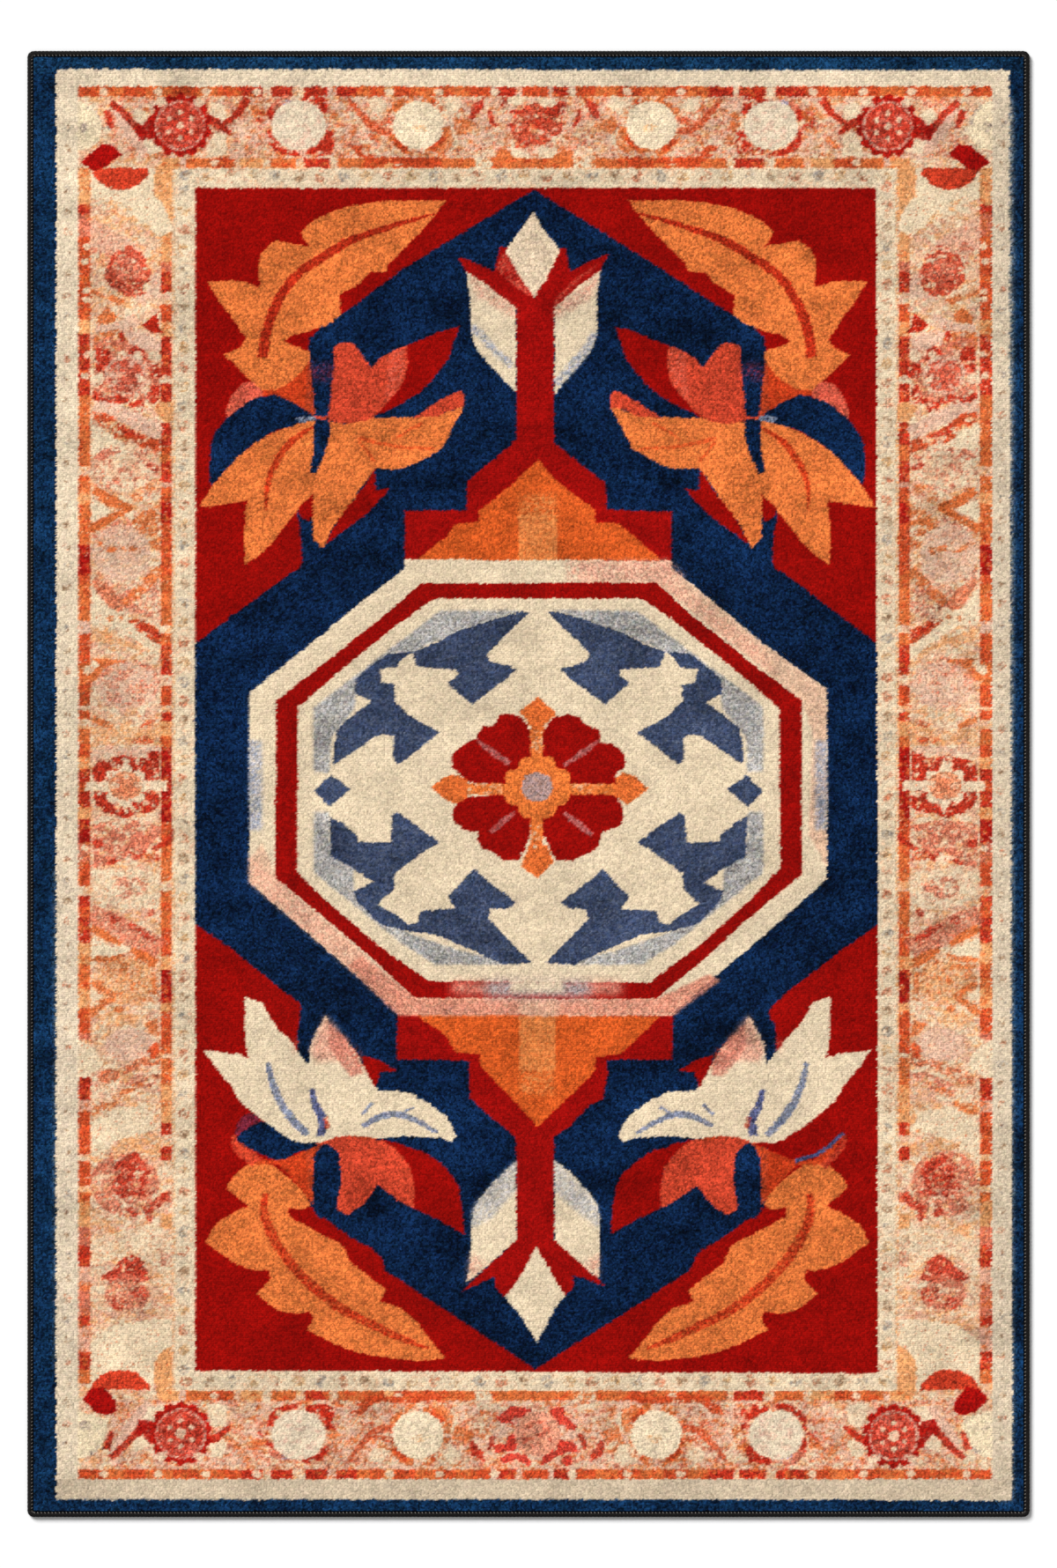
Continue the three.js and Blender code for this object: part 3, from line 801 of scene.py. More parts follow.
paint_sides(TANGERINE, band([(-523, -210), (-500, -210), (-484, -204)], 4, 7, 4),
    band([(-522, -238), (-508, -246), (-497, -255), (-510, -264), (-524, -276)], 6, 8, 8, 10),
    band([(-449, -225), (-447, -252)], 5, 8), mix=0.8)
paint_sides(IVORY_GROUND, outline((-524, -244), (-508, -254), (-522, -263)), mix=0.8)
paint_sides(TANGERINE, outline((-460, -287), (-444, -281), (-442, -303), (-450, -300)),
    rounded((-490, -269), 6, 5), rounded((-447, -318), 6, 8), mix=0.8)
paint_sides(APRICOT, rounded((-495, -282), 22, 9), mix=0.45)
paint_sides(SHELL, rounded((-477, -312), 30, 20), mix=0.75)
paint_sides(IVORY_GROUND, outline((-538, -306), (-520, -316), (-508, -335), (-530, -352), (-540, -350)),
    mix=0.9)
paint_sides(COPPER, outline((-519, -354), (-508, -342), (-492, -340), (-470, -330), (-441, -322),
        (-441, -336), (-462, -338), (-480, -346), (-500, -358), (-514, -360)), patchy=0.8, mix=0.85)
paint_sides(ROSE_PINK,
    outline((-500, -362), (-460, -344), (-441, -346), (-445, -358), (-470, -368), (-492, -372)), patchy=0.4,
    mix=0.7)
paint_sides(TANGERINE, outline((-521, -380), (-500, -382), (-480, -372), (-455, -358), (-468, -356),
        (-490, -368), (-494, -390), (-521, -396)), patchy=0.72, mix=0.8)
paint_sides(FLAME, outline((-456, -318), (-446, -308), (-441, -312), (-441, -326), (-452, -330)),
    patchy=0.85, mix=0.85)
paint_sides(IVORY_GROUND, outline((-523, -405), (-490, -385), (-450, -392), (-446, -412), (-480, -424),
        (-500, -428), (-500, -436), (-523, -448)), mix=0.85)
paint_sides(APRICOT, outline((-500, -432), (-478, -422), (-460, -424), (-441, -430), (-441, -446),
        (-460, -440), (-488, -440), (-498, -444)), mix=0.7, patchy=0.75)
paint_sides(ROSE_PINK, rounded((-483, -478), 41, 40), patchy=0.72, mix=0.82)
paint_sides(MADDER, outline((-498, -458), (-488, -448), (-478, -443), (-468, -440), (-460, -452),
        (-452, -460), (-456, -476), (-462, -484), (-450, -488), (-458, -494), (-476, -492), (-490, -496),
        (-500, -482), (-494, -470)), patchy=0.86, mix=0.88)
paint_sides(CHERRY, band([(-460, -511), (-445, -503), (-432, -490)], 9, 11, 9), rounded((-453, -517), 4, 7),
    rounded((-474, -512), 7, 5, -40), mix=0.7)
paint_sides(APRICOT, band([(-521, -524), (-500, -532), (-486, -542)], 6, 8, 5), mix=0.6)
paint_sides(IVORY_GROUND, outline((-523, -545), (-450, -525), (-427, -535), (-427, -600), (-452, -575),
        [(-476, -560)], (-500, -565), (-523, -590)), mix=0.5)
paint_sides(GARNET, outline((-511, -590), (-495, -577), [(-476, -563)], (-460, -572), (-452, -592),
        (-470, -597), (-490, -592), (-502, -598)), patchy=0.9, mix=0.88)
paint_sides(ROSE_PINK, rounded((-480, -609), 27, 24), patchy=0.7, mix=0.8)
paint_sides(CHERRY, rounded((-464, -610), 11, 9), rounded((-490, -622), 9, 7), mix=0.5)
paint_sides(IVORY_GROUND, outline((-524, -668), (-500, -648), (-450, -640), (-427, -640), (-427, -672),
        (-448, -690), (-448, -724), (-455, -724), (-470, -702), (-510, -706), (-523, -718)), mix=0.9)
paint_sides(APRICOT, outline((-426, -672), [(-440, -680), (-448, -700)], (-444, -736), (-426, -736)),
    mix=0.95)

# Single tufts of cream and of flame yarn, scattered over the whole band where a random haze passes
# a level, each taking at most the stray share of its yarn
STRAY_SHARE = 0.7
INNER_EDGE = box(-425.5, 442, -726, 736.5)
in_border = filled(BORDER, stand_x, stand_y) * (1 - filled(INNER_EDGE, stand_x, stand_y))
for yarn, level in ((IVORY_GROUND, 1.5), (FLAME, 1.6)):
    stray = np.clip(haze(1.6, 1.6) - level, 0, STRAY_SHARE)
    chart += (stray * in_border)[..., None] * (np.array(yarn, np.float32) - chart)

# Corners: a coral half disc, a red blob and a quarter disc of cream with grey flecks
paint_sides(VERMILION,
    outline((-525, 737), [(-516, 722), (-500, 713), (-485, 711), (-468, 716)], (-453, 730), (-457, 737)),
    outline((-524, -724), [(-515, -710), (-498, -702), (-472, -703)], (-453, -719), (-453, -725)))
paint_sides(CARMINE, outline((-537, 744), (-522, 756), [(-512, 764)], (-498, 765), (-486, 753), (-498, 745),
        (-506, 738), (-520, 734)), outline((-534, -736), (-525, -724), (-508, -721), (-494, -738),
        (-492, -750), (-503, -755), (-518, -752)))
paint_sides(PALE_CREAM,
    outline((-539, 818), [(-522, 810), (-511, 790)], (-513, 770), (-526, 760), (-539, 758)),
    outline((-539, -808), [(-518, -800), (-508, -784)], (-503, -760), (-520, -755), (-539, -750)))
paint_sides(ASH, rounded((-533, 787), 6, 7), band([(-528, 812), (-515, 800), (-512, 780)], 5, 3, 3),
    rounded((-505, 783), 6, 5), rounded((-531, -768), 7, 6), band([(-524, -802), (-510, -792)], 8, 6),
    mix=0.6, patchy=0.6)

# Ends: outer and inner stripes, with cream dots
for low, high, dots in ((822.5, 834.5, 828), (-831.5, -820, -825.5)):
    stripe(low, high, -538.5, (-505, FLAME), (-485, TANGERINE), (-458, FLAME), (-425, TANGERINE),
        (-395, FLAME), (-372, TANGERINE), (-345, FLAME), (-318, CHERRY), (-308, None), (-282, CHERRY),
        (-268, None), (-240, CHERRY), (-230, SHELL), (-205, CHERRY), (-190, TANGERINE), (-172, FLAME),
        (-162, APRICOT), (-135, FLAME), (-108, TANGERINE), (-90, FLAME), (-70, TANGERINE), (-45, FLAME),
        (-38, SHELL), (-15, CHERRY), (-8, SHELL), (24, FLAME), (30, SHELL), (48, CHERRY), (56, SHELL),
        (80, FLAME), (108, TANGERINE), (135, FLAME), (162, TANGERINE), (190, FLAME), (215, TANGERINE),
        (245, CHERRY), (252, None), (284, CHERRY), (296, None), (330, CHERRY), (360, FLAME),
        (390, TANGERINE), (420, FLAME), (450, TANGERINE), (480, FLAME), (520, TANGERINE), (554, FLAME),
        across=True)
    paint(CREAM_RING, *(rounded((x, dots), 5.5, 4.5) for x in (-508, -443, -386, -325, -166, -107, -40, 52,
            118, 182, 340, 401, 458, 524)), mix=0.9)
for low, high in ((737, 748.5), (-737.5, -726)):
    stripe(low, high, -440, (-418, APRICOT), (-410, SHELL), (-380, TANGERINE), (-352, FLAME), (-345, None),
        (-318, APRICOT), (-308, None), (-278, TANGERINE), (-268, None), (-238, CHERRY), (-228, None),
        (-196, TANGERINE), (-172, FLAME), (-162, APRICOT), (-140, FLAME), (-104, FLAME), (-92, TANGERINE),
        (-64, TANGERINE), (-44, IVORY_GROUND), (-15, TANGERINE), (30, TANGERINE), (54, TANGERINE),
        (80, IVORY_GROUND), (118, TANGERINE), (150, FLAME), (178, TANGERINE), (205, FLAME),
        (238, TANGERINE), (246, None), (282, CHERRY), (294, None), (330, TANGERINE), (338, None),
        (366, APRICOT), (396, FLAME), (425, TANGERINE), (432, SHELL), (456, APRICOT), across=True)
paint(CREAM_RING, *(rounded((x, y), 5, 4) for x in (-376, -156, 172, 392) for y in (743, -732)), mix=0.85)


def wreath_block(centre, inner, outer, first, last):
    """A block of a ring, between two radii and two angles in degrees, as a path."""
    t = np.radians(np.linspace(first, last, 9))[:, None]
    ray = np.concatenate([np.cos(t), np.sin(t)], 1)
    return np.concatenate([centre + inner * ray, (centre + outer * ray)[::-1]])


def rosette(centre, eye, outward):
    """A large corner flower: a scalloped red rim, a dotted pale ring, and a mottled coral heart with
    pale spots round an eye. Outward is 1 where the rim is above it, and -1 where it is below."""
    centre = np.array(centre, float)
    scallops = around(centre, 32.5, np.arange(0.2, 6.3, np.pi / 7))
    spots = around(centre, 15.5, np.radians((90, 210, 270, 330, 30, 150)))
    paint(CRIMSON, rounded(centre, 34.5), *(rounded(at, 6.2) for at in scallops))
    paint(SHELL, rounded(centre, 30.5), mix=0.62)
    paint(HEART_RED, rounded(centre, 27), mix=0.95)
    paint(HEART_PINK, rounded(centre, 26), patchy=0.3, mix=0.8)
    paint(CREAM_RING, rounded(centre, eye), *(rounded(at, 3.2) for at in spots), mix=0.85)
    paint(CREAM_RING, rounded(centre + (-24, 27 * outward), 8, 5),
        rounded(centre + (22, 27 * outward), 6, 5), mix=0.85)


def paint_end(row, yarn, *paths, **how):
    """Paints in the row of an end. The paths are measured along the rug from the row's middle line
    towards the rim, and are drawn again about the row's own axis."""
    middle, outward, axis = row
    paint(yarn, *(path * (1, outward) + (0, middle) for path in paths), mirror=axis, **how)


END_ROWS = ((788, 1, 7.5), (-778.5, -1, 10.5))  # middle line, way to the rim, axis of mirroring
TANGERINE_BLOCKS = ((-160, -100), (-75, -5), (15, 80), (100, 155))
DISC_BLOCKS = (
    [(-38, -4), (-31, -9), (-29, -16), (-18, -28), (-2, -31), (3, -37), (-10, -37), (-28, -32), (-36, -22)],
    [(10, -26), (20, -26), (30, -14), (32, -6), (46, -6), (39, -14), (44, -24), (38, -36), (18, -37),
     (8, -34)],
    [(4, 26), (4, 33), (10, 36), (32, 33), (35, 24), (36, 14), (31, 12), (24, 20), (14, 24)],
    [(-40, 12), (-34, 4), (-31, 8), (-27, 18), (-33, 24)],
)
FLAME_BLOCKS = ((-150, -115), (-62, -25), (28, 62))
for row in END_ROWS:
    up = row[1]
    # Vines and pale leaves beside the corner rosettes
    paint_end(row, SHELL, band([(-492, 24), (-482, 0), (-456, -32)], 12, 16, 16), mix=0.85)
    paint_end(row, CHERRY, band([(-500, 28), (-482, 12), (-460, -12)], 8, 9, 12),
        band([(-505, 18), (-498, -4)], 10, 6), mix=0.85)
    paint_end(row, BLOOD, outline((-470, -2), (-452, 12), (-448, -18), (-466, -19)), mix=0.85)
    paint_end(row, IVORY_GROUND, outline((-470, 22), (-452, 12), (-462, -1), (-474, 8)),
        outline((-462, -18), (-448, -16), (-436, -32), (-455, -34)),
        outline((-380, 26), (-366, 26), (-358, 5), (-382, 8)),
        outline((-385, -26), (-375, -8), (-362, -12), (-360, -36), (-385, -38)), mix=0.85)
    paint_end(row, CHERRY, band([(-385, 8), (-372, 2), (-356, -10)], 9, 10, 5), mix=0.9)
    paint_end(row, CHERRY if up > 0 else TANGERINE, band([(-366, 2), (-350, 12), (-336, 32)], 6, 8, 11),
        mix=0.9 if up > 0 else 0.5)
    # First disc of an end, in broken red blocks
    paint_end(row, CHERRY, rounded((-322, 10), 10, 7, 40 * up), rounded((-318, -2), 7, 4), patchy=0.6,
        mix=0.7)
    paint_end(row, BLOCK_RED, *(np.array(block) + (-275, 0) for block in DISC_BLOCKS), mix=0.92,
        patchy=0.84)
    paint_end(row, ROSE_PINK, wreath_block((-275, 0), 31, 41, 105, 150), mix=0.85, patchy=0.7)
    paint_end(row, TANGERINE, rounded((-322, 14), 12, 8, -50), rounded((-232, 4), 7, 12), mix=0.75,
        patchy=0.7)
    paint_end(row, LILAC, rounded((-288, 27), 8, 4), mix=0.6 if up > 0 else 0.2)
    paint_end(row, IVORY, rounded((-275, 0), 32.5, 29.5))
    paint_end(row, SHELL, rounded((-275, 0), 28), patchy=0.25, mix=0.6)
    # Vine between the discs
    paint_end(row, FLAME, band([(-216, 32), (-200, 12), (-182, -5), (-163, -8)], 5, 9, 9), mix=0.75)
    paint_end(row, FLAME,
        outline((-214, -24), (-200, -24), (-184, -38), (-100, -38), (-100, -46), (-188, -46), (-206, -36)),
        mix=0.9, patchy=0.9)
    paint_end(row, FLAME, band([(-190, 2), (-165, 6), (-155, 14)], 5, 8, 4),
        band([(-190, -16), (-185, -10)], 8, 6), mix=0.55)
    # Second disc of an end
    paint_end(row, IVORY_GROUND, rounded((-180, 24), 10, 9), rounded((-90, 26), 9, 10),
        rounded((-92, -16), 8, 12), mix=0.8)
    paint_end(row, TANGERINE,
        *(wreath_block((-132, 0), 27, 38, up * first, up * last) for first, last in TANGERINE_BLOCKS),
        mix=0.9, patchy=0.78)
    paint_end(row, FLAME,
        *(wreath_block((-132, 0), 28, 36, up * first, up * last) for first, last in FLAME_BLOCKS), mix=0.9)
    paint_end(row, DISC_CREAM, rounded((-132, 0), 30.5, 29))
    paint_end(row, APRICOT, rounded((-130, -4 * up), 9, 5), mix=0.25)
    paint_end(row, TANGERINE, outline((-90, 6), (-72, 8), (-62, -2), (-88, -12)),
        band([(-98, -2), (-95, -22), (-110, -32)], 8, 10, 12), mix=0.7)
    # Leaves beside the middle flower
    paint_end(row, CHERRY, outline((-71, 10), (-68, 24), (-52, 34), (-54, 22), (-66, 6)),
        band([(-47, 18), (-44, 6), (-38, -2)], 4, 6, 4), mix=0.8)
    paint_end(row, IVORY_GROUND, rounded((-100, 22), 14, 12),
        outline((-66, -40), (-40, -36), (-38, -28), (-60, -30)), mix=0.6)
rosette((-416.5, 788), 4, 1)
rosette((430, 787), 4, 1)
rosette((-416, -777), 6.5, -1)
rosette((437, -780), 6.5, -1)

# Middle flower of the top end and of the bottom end
paint(RUSSET, outline((-18, 800), [(5, 814)], (38, 812), [(42, 786)], (34, 775), [(12, 763)], (-10, 762),
        [(-20, 780)]), mix=0.88, patchy=0.84)
paint(CHERRY, outline((-27, 794), (-18, 789), (-17, 778), (-26, 780)), band([(-22, 802), (-5, 806)], 6, 5),
    outline((18, 802), (34, 816), (44, 818), (46, 804), (28, 798)), rounded((-8, 765), 8, 6),
    rounded((-30, 815), 5, 7), rounded((14, 790), 14, 7), mix=0.8, patchy=0.75)
paint(IVORY_GROUND, outline((-20, 772), (-14, 760), (0, 752), (0, 748), (-22, 750)),
    outline((10, 762), (36, 760), (30, 749), (12, 749)), rounded((22, 815), 11, 6),
    rounded((-14, 818), 10, 6), mix=0.85)
paint(TANGERINE, outline((-40, 752), (-34, 760), (-24, 758), (-16, 748), (-40, 745)),
    outline((30, 750), (40, 759), (54, 757), (52, 746), (32, 746)), mix=0.9)
paint(POPPY, outline((-38, -757), (-20, -744), (4, -748), (-6, -756), (-16, -766), (-34, -764)),
    outline((26, -747), (40, -745), (46, -758), (60, -770), (54, -776), (36, -766), (24, -756)),
    outline((-25, -780), (-16, -776), (-12, -788), (-16, -797), (-40, -800), (-44, -790), (-28, -790)),
    outline((36, -783), (58, -790), (59, -800), (44, -800), (28, -808), (14, -816), (18, -804), (34, -795)),
    outline((-36, -806), (-20, -800), (-4, -802), (5, -812), (0, -816), (-14, -808), (-30, -814)),
    rounded((46, -810), 7, 7), mix=0.92)
paint(PEACH_PINK, rounded((11, -777), 28, 27), mix=0.9)
paint(DUSKY_CORAL, rounded((11, -780), 21, 19), patchy=0.35, mix=0.7)
paint(SHELL, rounded((-14, -762), 5, 4), rounded((40, -770), 5, 4), rounded((-34, -776), 10, 7),
    rounded((52, -778), 7, 6), mix=0.75)

apricot_yarn = pile_material("apricot_yarn", 0.03)
tuft_ring("main_border", apricot_yarn)

# ---------------------------------------------------------------------------------------------------
# Inner guard: ivory with a row of small flowers in grey, ochre, terracotta and brown, tufted between
# the main border and the field.

GUARD_IVORY = (225, 203, 171, 0.14)
paint(GUARD_IVORY, outline((-425.5, 736.5), (441.5, 736.5), (441.5, -726), (-425.5, -725)))
paint(APRICOT, box(-425.5, -423, -726, 736.5), box(439, 441.5, -726, 736.5), mix=0.3)
paint(PEACH_GROUND, box(-425.5, 441.5, -726, 736.5), patchy=0.18, mix=0.45)
end_x = np.arange(-410, 430, 27.0)
side_y = np.arange(-700, 720, 23.5)
guard_tints = (GREY_SPRIG, OCHRE, TERRACOTTA, OCHRE, GREY_SPRIG, FLECK, TERRACOTTA)
for tints, row_y in ((guard_tints, 727.5), (guard_tints[::-1], -714.5)):
    sprigs(tints, end_x, np.full(len(end_x), row_y), 8, 0.6, 0.66)
for tints, row_x, shift in ((guard_tints, -412.5, 0), (guard_tints[2:], 429.0, 5)):
    sprigs(tints, np.full(len(side_y), row_x), side_y + shift, 7.5, 0.6, 0.66)
tuft_ring("inner_guard", ivory_yarn)

# ---------------------------------------------------------------------------------------------------
# Field: red ground with a navy diamond behind the medallion, a leaf and a flower in each corner, and
# a tulip on a stem at each end. Cut pile of dyed yarn, tufted in the same run as the rest.

RED = (146, 9, 5, 0.17)
STEM_RED = (152, 11, 8, 0.17)
ORANGE = (218, 114, 56, 0.24)
BURNT = (198, 66, 28, 0.24)
CORAL = (196, 66, 42, 0.26)
ROSE = (206, 92, 72, 0.28)
CREAM = (226, 205, 173, 0.12)
BLUSH = (219, 156, 132, 0.24)
SLATE = (47, 60, 90, 0.28)
MIST = (150, 155, 172, 0.24)
INK = (74, 80, 122, 0.34)
PLUM = (108, 38, 58, 0.35)
RIB_RED = (166, 34, 16, 0.32)
LOWER_RIB_RED = (182, 40, 18, 0.32)
VEIN_RED = (176, 40, 16, 0.3)
VEIN_FLAME = (213, 76, 34, 0.26)
PETAL_ROSE = (206, 92, 70, 0.32)
STEEL = (112, 120, 146, 0.3)
DUSTY_ROSE = (206, 124, 104, 0.26)
LOZENGE_CREAM = (222, 198, 168, 0.17)
DOVE = (182, 178, 176, 0.2)

FIELD_AXIS = 10.5


def paint_corners(yarn, *paths, **how):
    """Paints in a left corner of the field, and in mirror image in the right one."""
    paint(yarn, *paths, mirror=FIELD_AXIS, **how)


paint(RED, outline((-398.5, 713), (416, 713), (418, -705), (-398.5, -701.5)))
paint(NAVY, outline((7, 711), [(-100, 647), (-150, 616), (-222, 563)], (-250, 545), (-262, 532),
        (-276, 320), [(-272, 290), (-272, 261)], (-285, 252), (-399, 168), (-399, -167), (-352, -200),
        (-272, -264), [(-274, -290), (-276, -318)], (-262, -505), (-252, -512), [(-220, -537),
        (-180, -562)], (-172, -582), (-89, -636), (8, -700), (110, -636), (193, -582), (203, -560),
        [(241, -537), (273, -512)], (283, -505), (297, -318), [(295, -290), (293, -264)], (373, -200),
        (418, -168), (417, 168), (306, 252), [(293, 261), (293, 290)], (297, 320), (283, 532), (271, 545),
        [(211, 582), (150, 622)]))

# Leaves of the top corners, with their ribs
paint_corners(ORANGE, outline((-99, 698), [(-110, 683), (-125, 665), (-147, 642)], (-168, 622), (-170, 613),
        (-190, 612), [(-205, 597)], (-226, 585), (-225, 560), [(-240, 550)], (-262, 541), (-280, 538),
        (-293, 530), (-281, 524), (-262, 517), [(-262, 508), (-270, 494)], (-284, 482), [(-300, 472)],
        (-318, 470), [(-340, 490)], (-364, 514), [(-345, 522)], (-338, 532), [(-347, 545), (-353, 556),
        (-367, 573)], (-384, 601), [(-360, 602), (-338, 600)], (-321, 594), [(-323, 622), (-317, 638)],
        (-303, 650), [(-280, 646)], (-262, 643), [(-271, 661), (-250, 678)], (-220, 690), [(-180, 697),
        (-140, 698)]))
paint_corners(RIB_RED, band([(-112, 682), (-145, 673), (-180, 662), (-215, 649), (-245, 631), (-278, 608),
        (-300, 577), (-313, 542), (-318, 510)], 3, 7, 10, 11, 12, 13), mix=0.9)
paint_corners(BURNT, outline((-262, 506), [(-272, 493)], (-284, 482), [(-298, 473)], (-318, 471),
        (-318, 465), (-300, 464), (-275, 452), (-256, 440), (-256, 500)), mix=0.9)

# Flowers of the top corners: coral and red petals above, navy crescent, orange petals below
paint_corners(CORAL, outline((-240, 508), [(-229, 525), (-212, 527), (-200, 515)], (-188, 498),
        [(-174, 512)], (-146, 525), (-145, 500), [(-150, 480), (-166, 459)], (-185, 438), [(-215, 431)],
        (-258, 438)))
paint_corners(ROSE, outline((-168, 514), (-148, 522), (-147, 495), [(-156, 472)], (-172, 456), (-168, 490)),
    mix=0.45, soft=2)
paint_corners(RED, outline((-146, 525), [(-125, 533), (-106, 541)], (-83, 547), (-92, 520), [(-100, 503),
        (-120, 479), (-140, 462)], (-186, 438), [(-166, 459), (-150, 480)], (-145, 502)))
paint_corners(NAVY, outline((-187, 439), (-160, 450), (-132, 444), (-136, 438)))
paint_corners(CORAL, outline((-140, 437), [(-112, 455), (-95, 465)], (-81, 471), (-77, 464), (-77, 450),
        (-95, 447), (-110, 438)))
paint_corners(PETAL_ROSE, outline((-318, 471), (-331, 482), (-343, 479), [(-355, 465)], (-362, 446),
        (-361, 437), (-340, 450), (-318, 464)), mix=0.92)
paint_corners(NAVY, outline((-380, 356), [(-382, 385), (-377, 416)], (-360, 438), [(-335, 457)],
        (-304, 466), [(-278, 454)], (-252, 435), (-258, 431), [(-295, 425), (-322, 411), (-345, 394)]))
paint_corners(MIST, outline((-278, 438), (-256, 441), (-254, 431), (-272, 431)), mix=0.7)
paint_corners(ORANGE, outline((-379, 356), (-394, 331), [(-375, 333)], (-337, 339), [(-340, 300)],
        (-339, 262), [(-318, 277), (-297, 301)], (-283, 319), (-258, 346), [(-258, 320)], (-258, 295),
        (-246, 281), [(-232, 310), (-210, 340)], (-184, 378), [(-155, 377), (-130, 386)], (-103, 402),
        [(-90, 427)], (-77, 451), [(-95, 446)], (-110, 439), (-185, 438), [(-215, 431)], (-252, 436),
        [(-285, 428), (-315, 415), (-345, 394)]))
paint_corners(RED, outline((-276, 330), (-272, 318), (-262, 314), (-258, 322), (-258, 346), (-268, 338)))
paint_corners(RED, outline((-244, 285), [(-222, 302), (-192, 325)], (-165, 354), (-183, 351), (-184, 378),
        [(-200, 352), (-225, 320)]))
paint_corners(NAVY, band([(-248, 436), (-247, 425), (-249, 405), (-258, 372)], 17, 20, 17, 7),
    band([(-247, 535), (-247, 500), (-247, 440)], 28, 28, 16))
paint_corners(PLUM, box(-260, -234, 482, 504), mix=0.35, soft=4)
paint_corners(VEIN_RED,
    band([(-258, 427), (-285, 408), (-304, 381), (-313, 355), (-314, 328)], 3, 8, 8, 6, 2), mix=0.8)
paint_corners(VEIN_FLAME, band([(-203, 414), (-180, 408), (-150, 403), (-112, 401)], 5, 4, 3),
    band([(-162, 411), (-140, 425), (-127, 432)], 2, 4), band([(-203, 410), (-183, 385)], 3, 4), mix=0.75)

# Leaves and flowers of the bottom corners
paint_corners(ORANGE, outline((-336, -455), [(-318, -451)], (-300, -461), [(-280, -477)], (-265, -494),
        (-260, -505), (-272, -509), (-287, -507), (-287, -517), (-271, -526), [(-245, -540), (-223, -552)],
        (-213, -572), [(-200, -582)], (-170, -605), (-178, -619), (-152, -627), [(-133, -645),
        (-118, -664)], (-99, -687), [(-132, -690), (-162, -687), (-200, -681)], (-233, -669), (-265, -653),
        [(-258, -640)], (-262, -631), (-280, -634), [(-302, -628)], (-325, -610), (-308, -592),
        (-311, -582), [(-330, -581)], (-352, -573), (-386, -549), [(-375, -528)], (-350, -511),
        (-335, -505), (-361, -483), [(-354, -470)]))
paint_corners(LOWER_RIB_RED, band([(-315, -490), (-316, -515), (-304, -545), (-284, -574), (-255, -604),
        (-220, -630), (-174, -653), (-140, -668), (-120, -675)], 7, 12, 12, 12, 11, 8, 3), mix=0.72)
paint_corners(BURNT, outline((-335, -455), (-354, -423), (-320, -450), (-294, -449), (-262, -437),
        (-240, -410), (-180, -425), (-250, -437), (-257, -505), [(-268, -490), (-284, -472)], (-300, -456)),
    mix=0.9)
paint_corners(CORAL, outline((-256, -430), (-240, -412), [(-200, -425)], (-176, -425), [(-160, -436)],
        (-142, -458), [(-137, -480)], (-137, -508), (-158, -497), (-180, -480), (-197, -502), (-216, -516),
        (-230, -508), [(-224, -470)], (-230, -438)))
paint_corners(RED, outline((-176, -425), [(-132, -437), (-100, -458)], (-84, -480), (-79, -510),
        (-77, -539), (-110, -520), (-137, -508), [(-137, -480)], (-142, -458), [(-160, -436)]))
paint_corners(NAVY, outline((-165, -425), (-140, -421), (-98, -427), (-125, -440), [(-150, -432)]))
paint_corners(NAVY, outline((-258, -510), (-257, -450), [(-250, -435), (-240, -431)], (-227, -442),
        (-225, -470), [(-231, -500)], (-225, -514), (-250, -520)))
paint(CORAL, outline((-354, -418), [(-353, -439)], (-331, -457), (-318, -448)), mix=0.85)
paint(NAVY, outline((-350, -423), [(-340, -414)], (-320, -403), (-249, -431), [(-278, -441), (-300, -450)],
        (-339, -434)))
paint(RED, outline((375, -418), (345, -403), (270, -431), [(299, -441), (321, -450)], (360, -434)))
paint(PLUM, outline((-351, -421), [(-348, -405)], (-337, -394), (-322, -397), (-322, -404)), mix=0.85)
paint(INK, band([(376, -418), (350, -440), (319, -451)], 4, 5))
paint(CORAL, band([(377, -420), (375, -434), (352, -458)], 5, 9), mix=0.8)
paint_corners(CREAM, outline((-340, -254), (-339, -310), (-335, -328), (-349, -323), (-389, -318),
        (-368, -348), (-358, -358), (-345, -380), (-321, -400), [(-291, -421)], (-275, -429), (-249, -429),
        [(-243, -418), (-244, -411)], [(-220, -421)], (-178, -424), (-142, -421), (-103, -424), (-92, -429),
        (-87, -421), [(-97, -400), (-120, -382)], (-145, -368), (-179, -367), (-194, -342), [(-216, -308)],
        (-235, -295), (-243, -277), [(-257, -303), (-262, -318)], (-263, -337), (-286, -306),
        [(-304, -287)], (-318, -262)))
paint_corners(BLUSH, outline((-243, -276), (-262, -318), (-255, -332), (-222, -330), (-216, -308)),
    mix=0.85, soft=3)
paint_corners(CORAL, outline((-232, -298), (-203, -318), (-194, -342), (-222, -334)), mix=0.42, soft=3)
paint_corners(BLUSH, box(-282, -276, -322, -306), mix=0.5, soft=3)
paint_corners(STEEL,
    band([(-312, -332), (-307, -356), (-297, -380), (-282, -402), (-264, -420)], 6, 9, 10, 8),
    band([(-199, -410), (-182, -400), (-160, -395), (-140, -400), (-108, -418)], 5, 8, 8, 4),
    band([(-187, -382), (-200, -396)], 4, 4), band([(-148, -392), (-136, -387)], 3, 3), mix=0.85)
paint_corners(DUSTY_ROSE, outline((-238, -288), (-222, -300), (-206, -324), (-197, -346), (-212, -350),
        (-226, -334), (-240, -312)), mix=0.8, soft=1)
paint_corners(INK, band([(-259, -365), (-255, -385), (-247, -400), (-248, -421)], 6, 9, 10, 10), mix=0.92)
paint_corners(CORAL, band([(-243, -398), (-240, -412)], 5, 5), mix=0.7)
paint_corners(RED,
    outline((-200, -325), [(-180, -330)], (-158, -343), (-178, -345), (-183, -364), (-196, -340)))

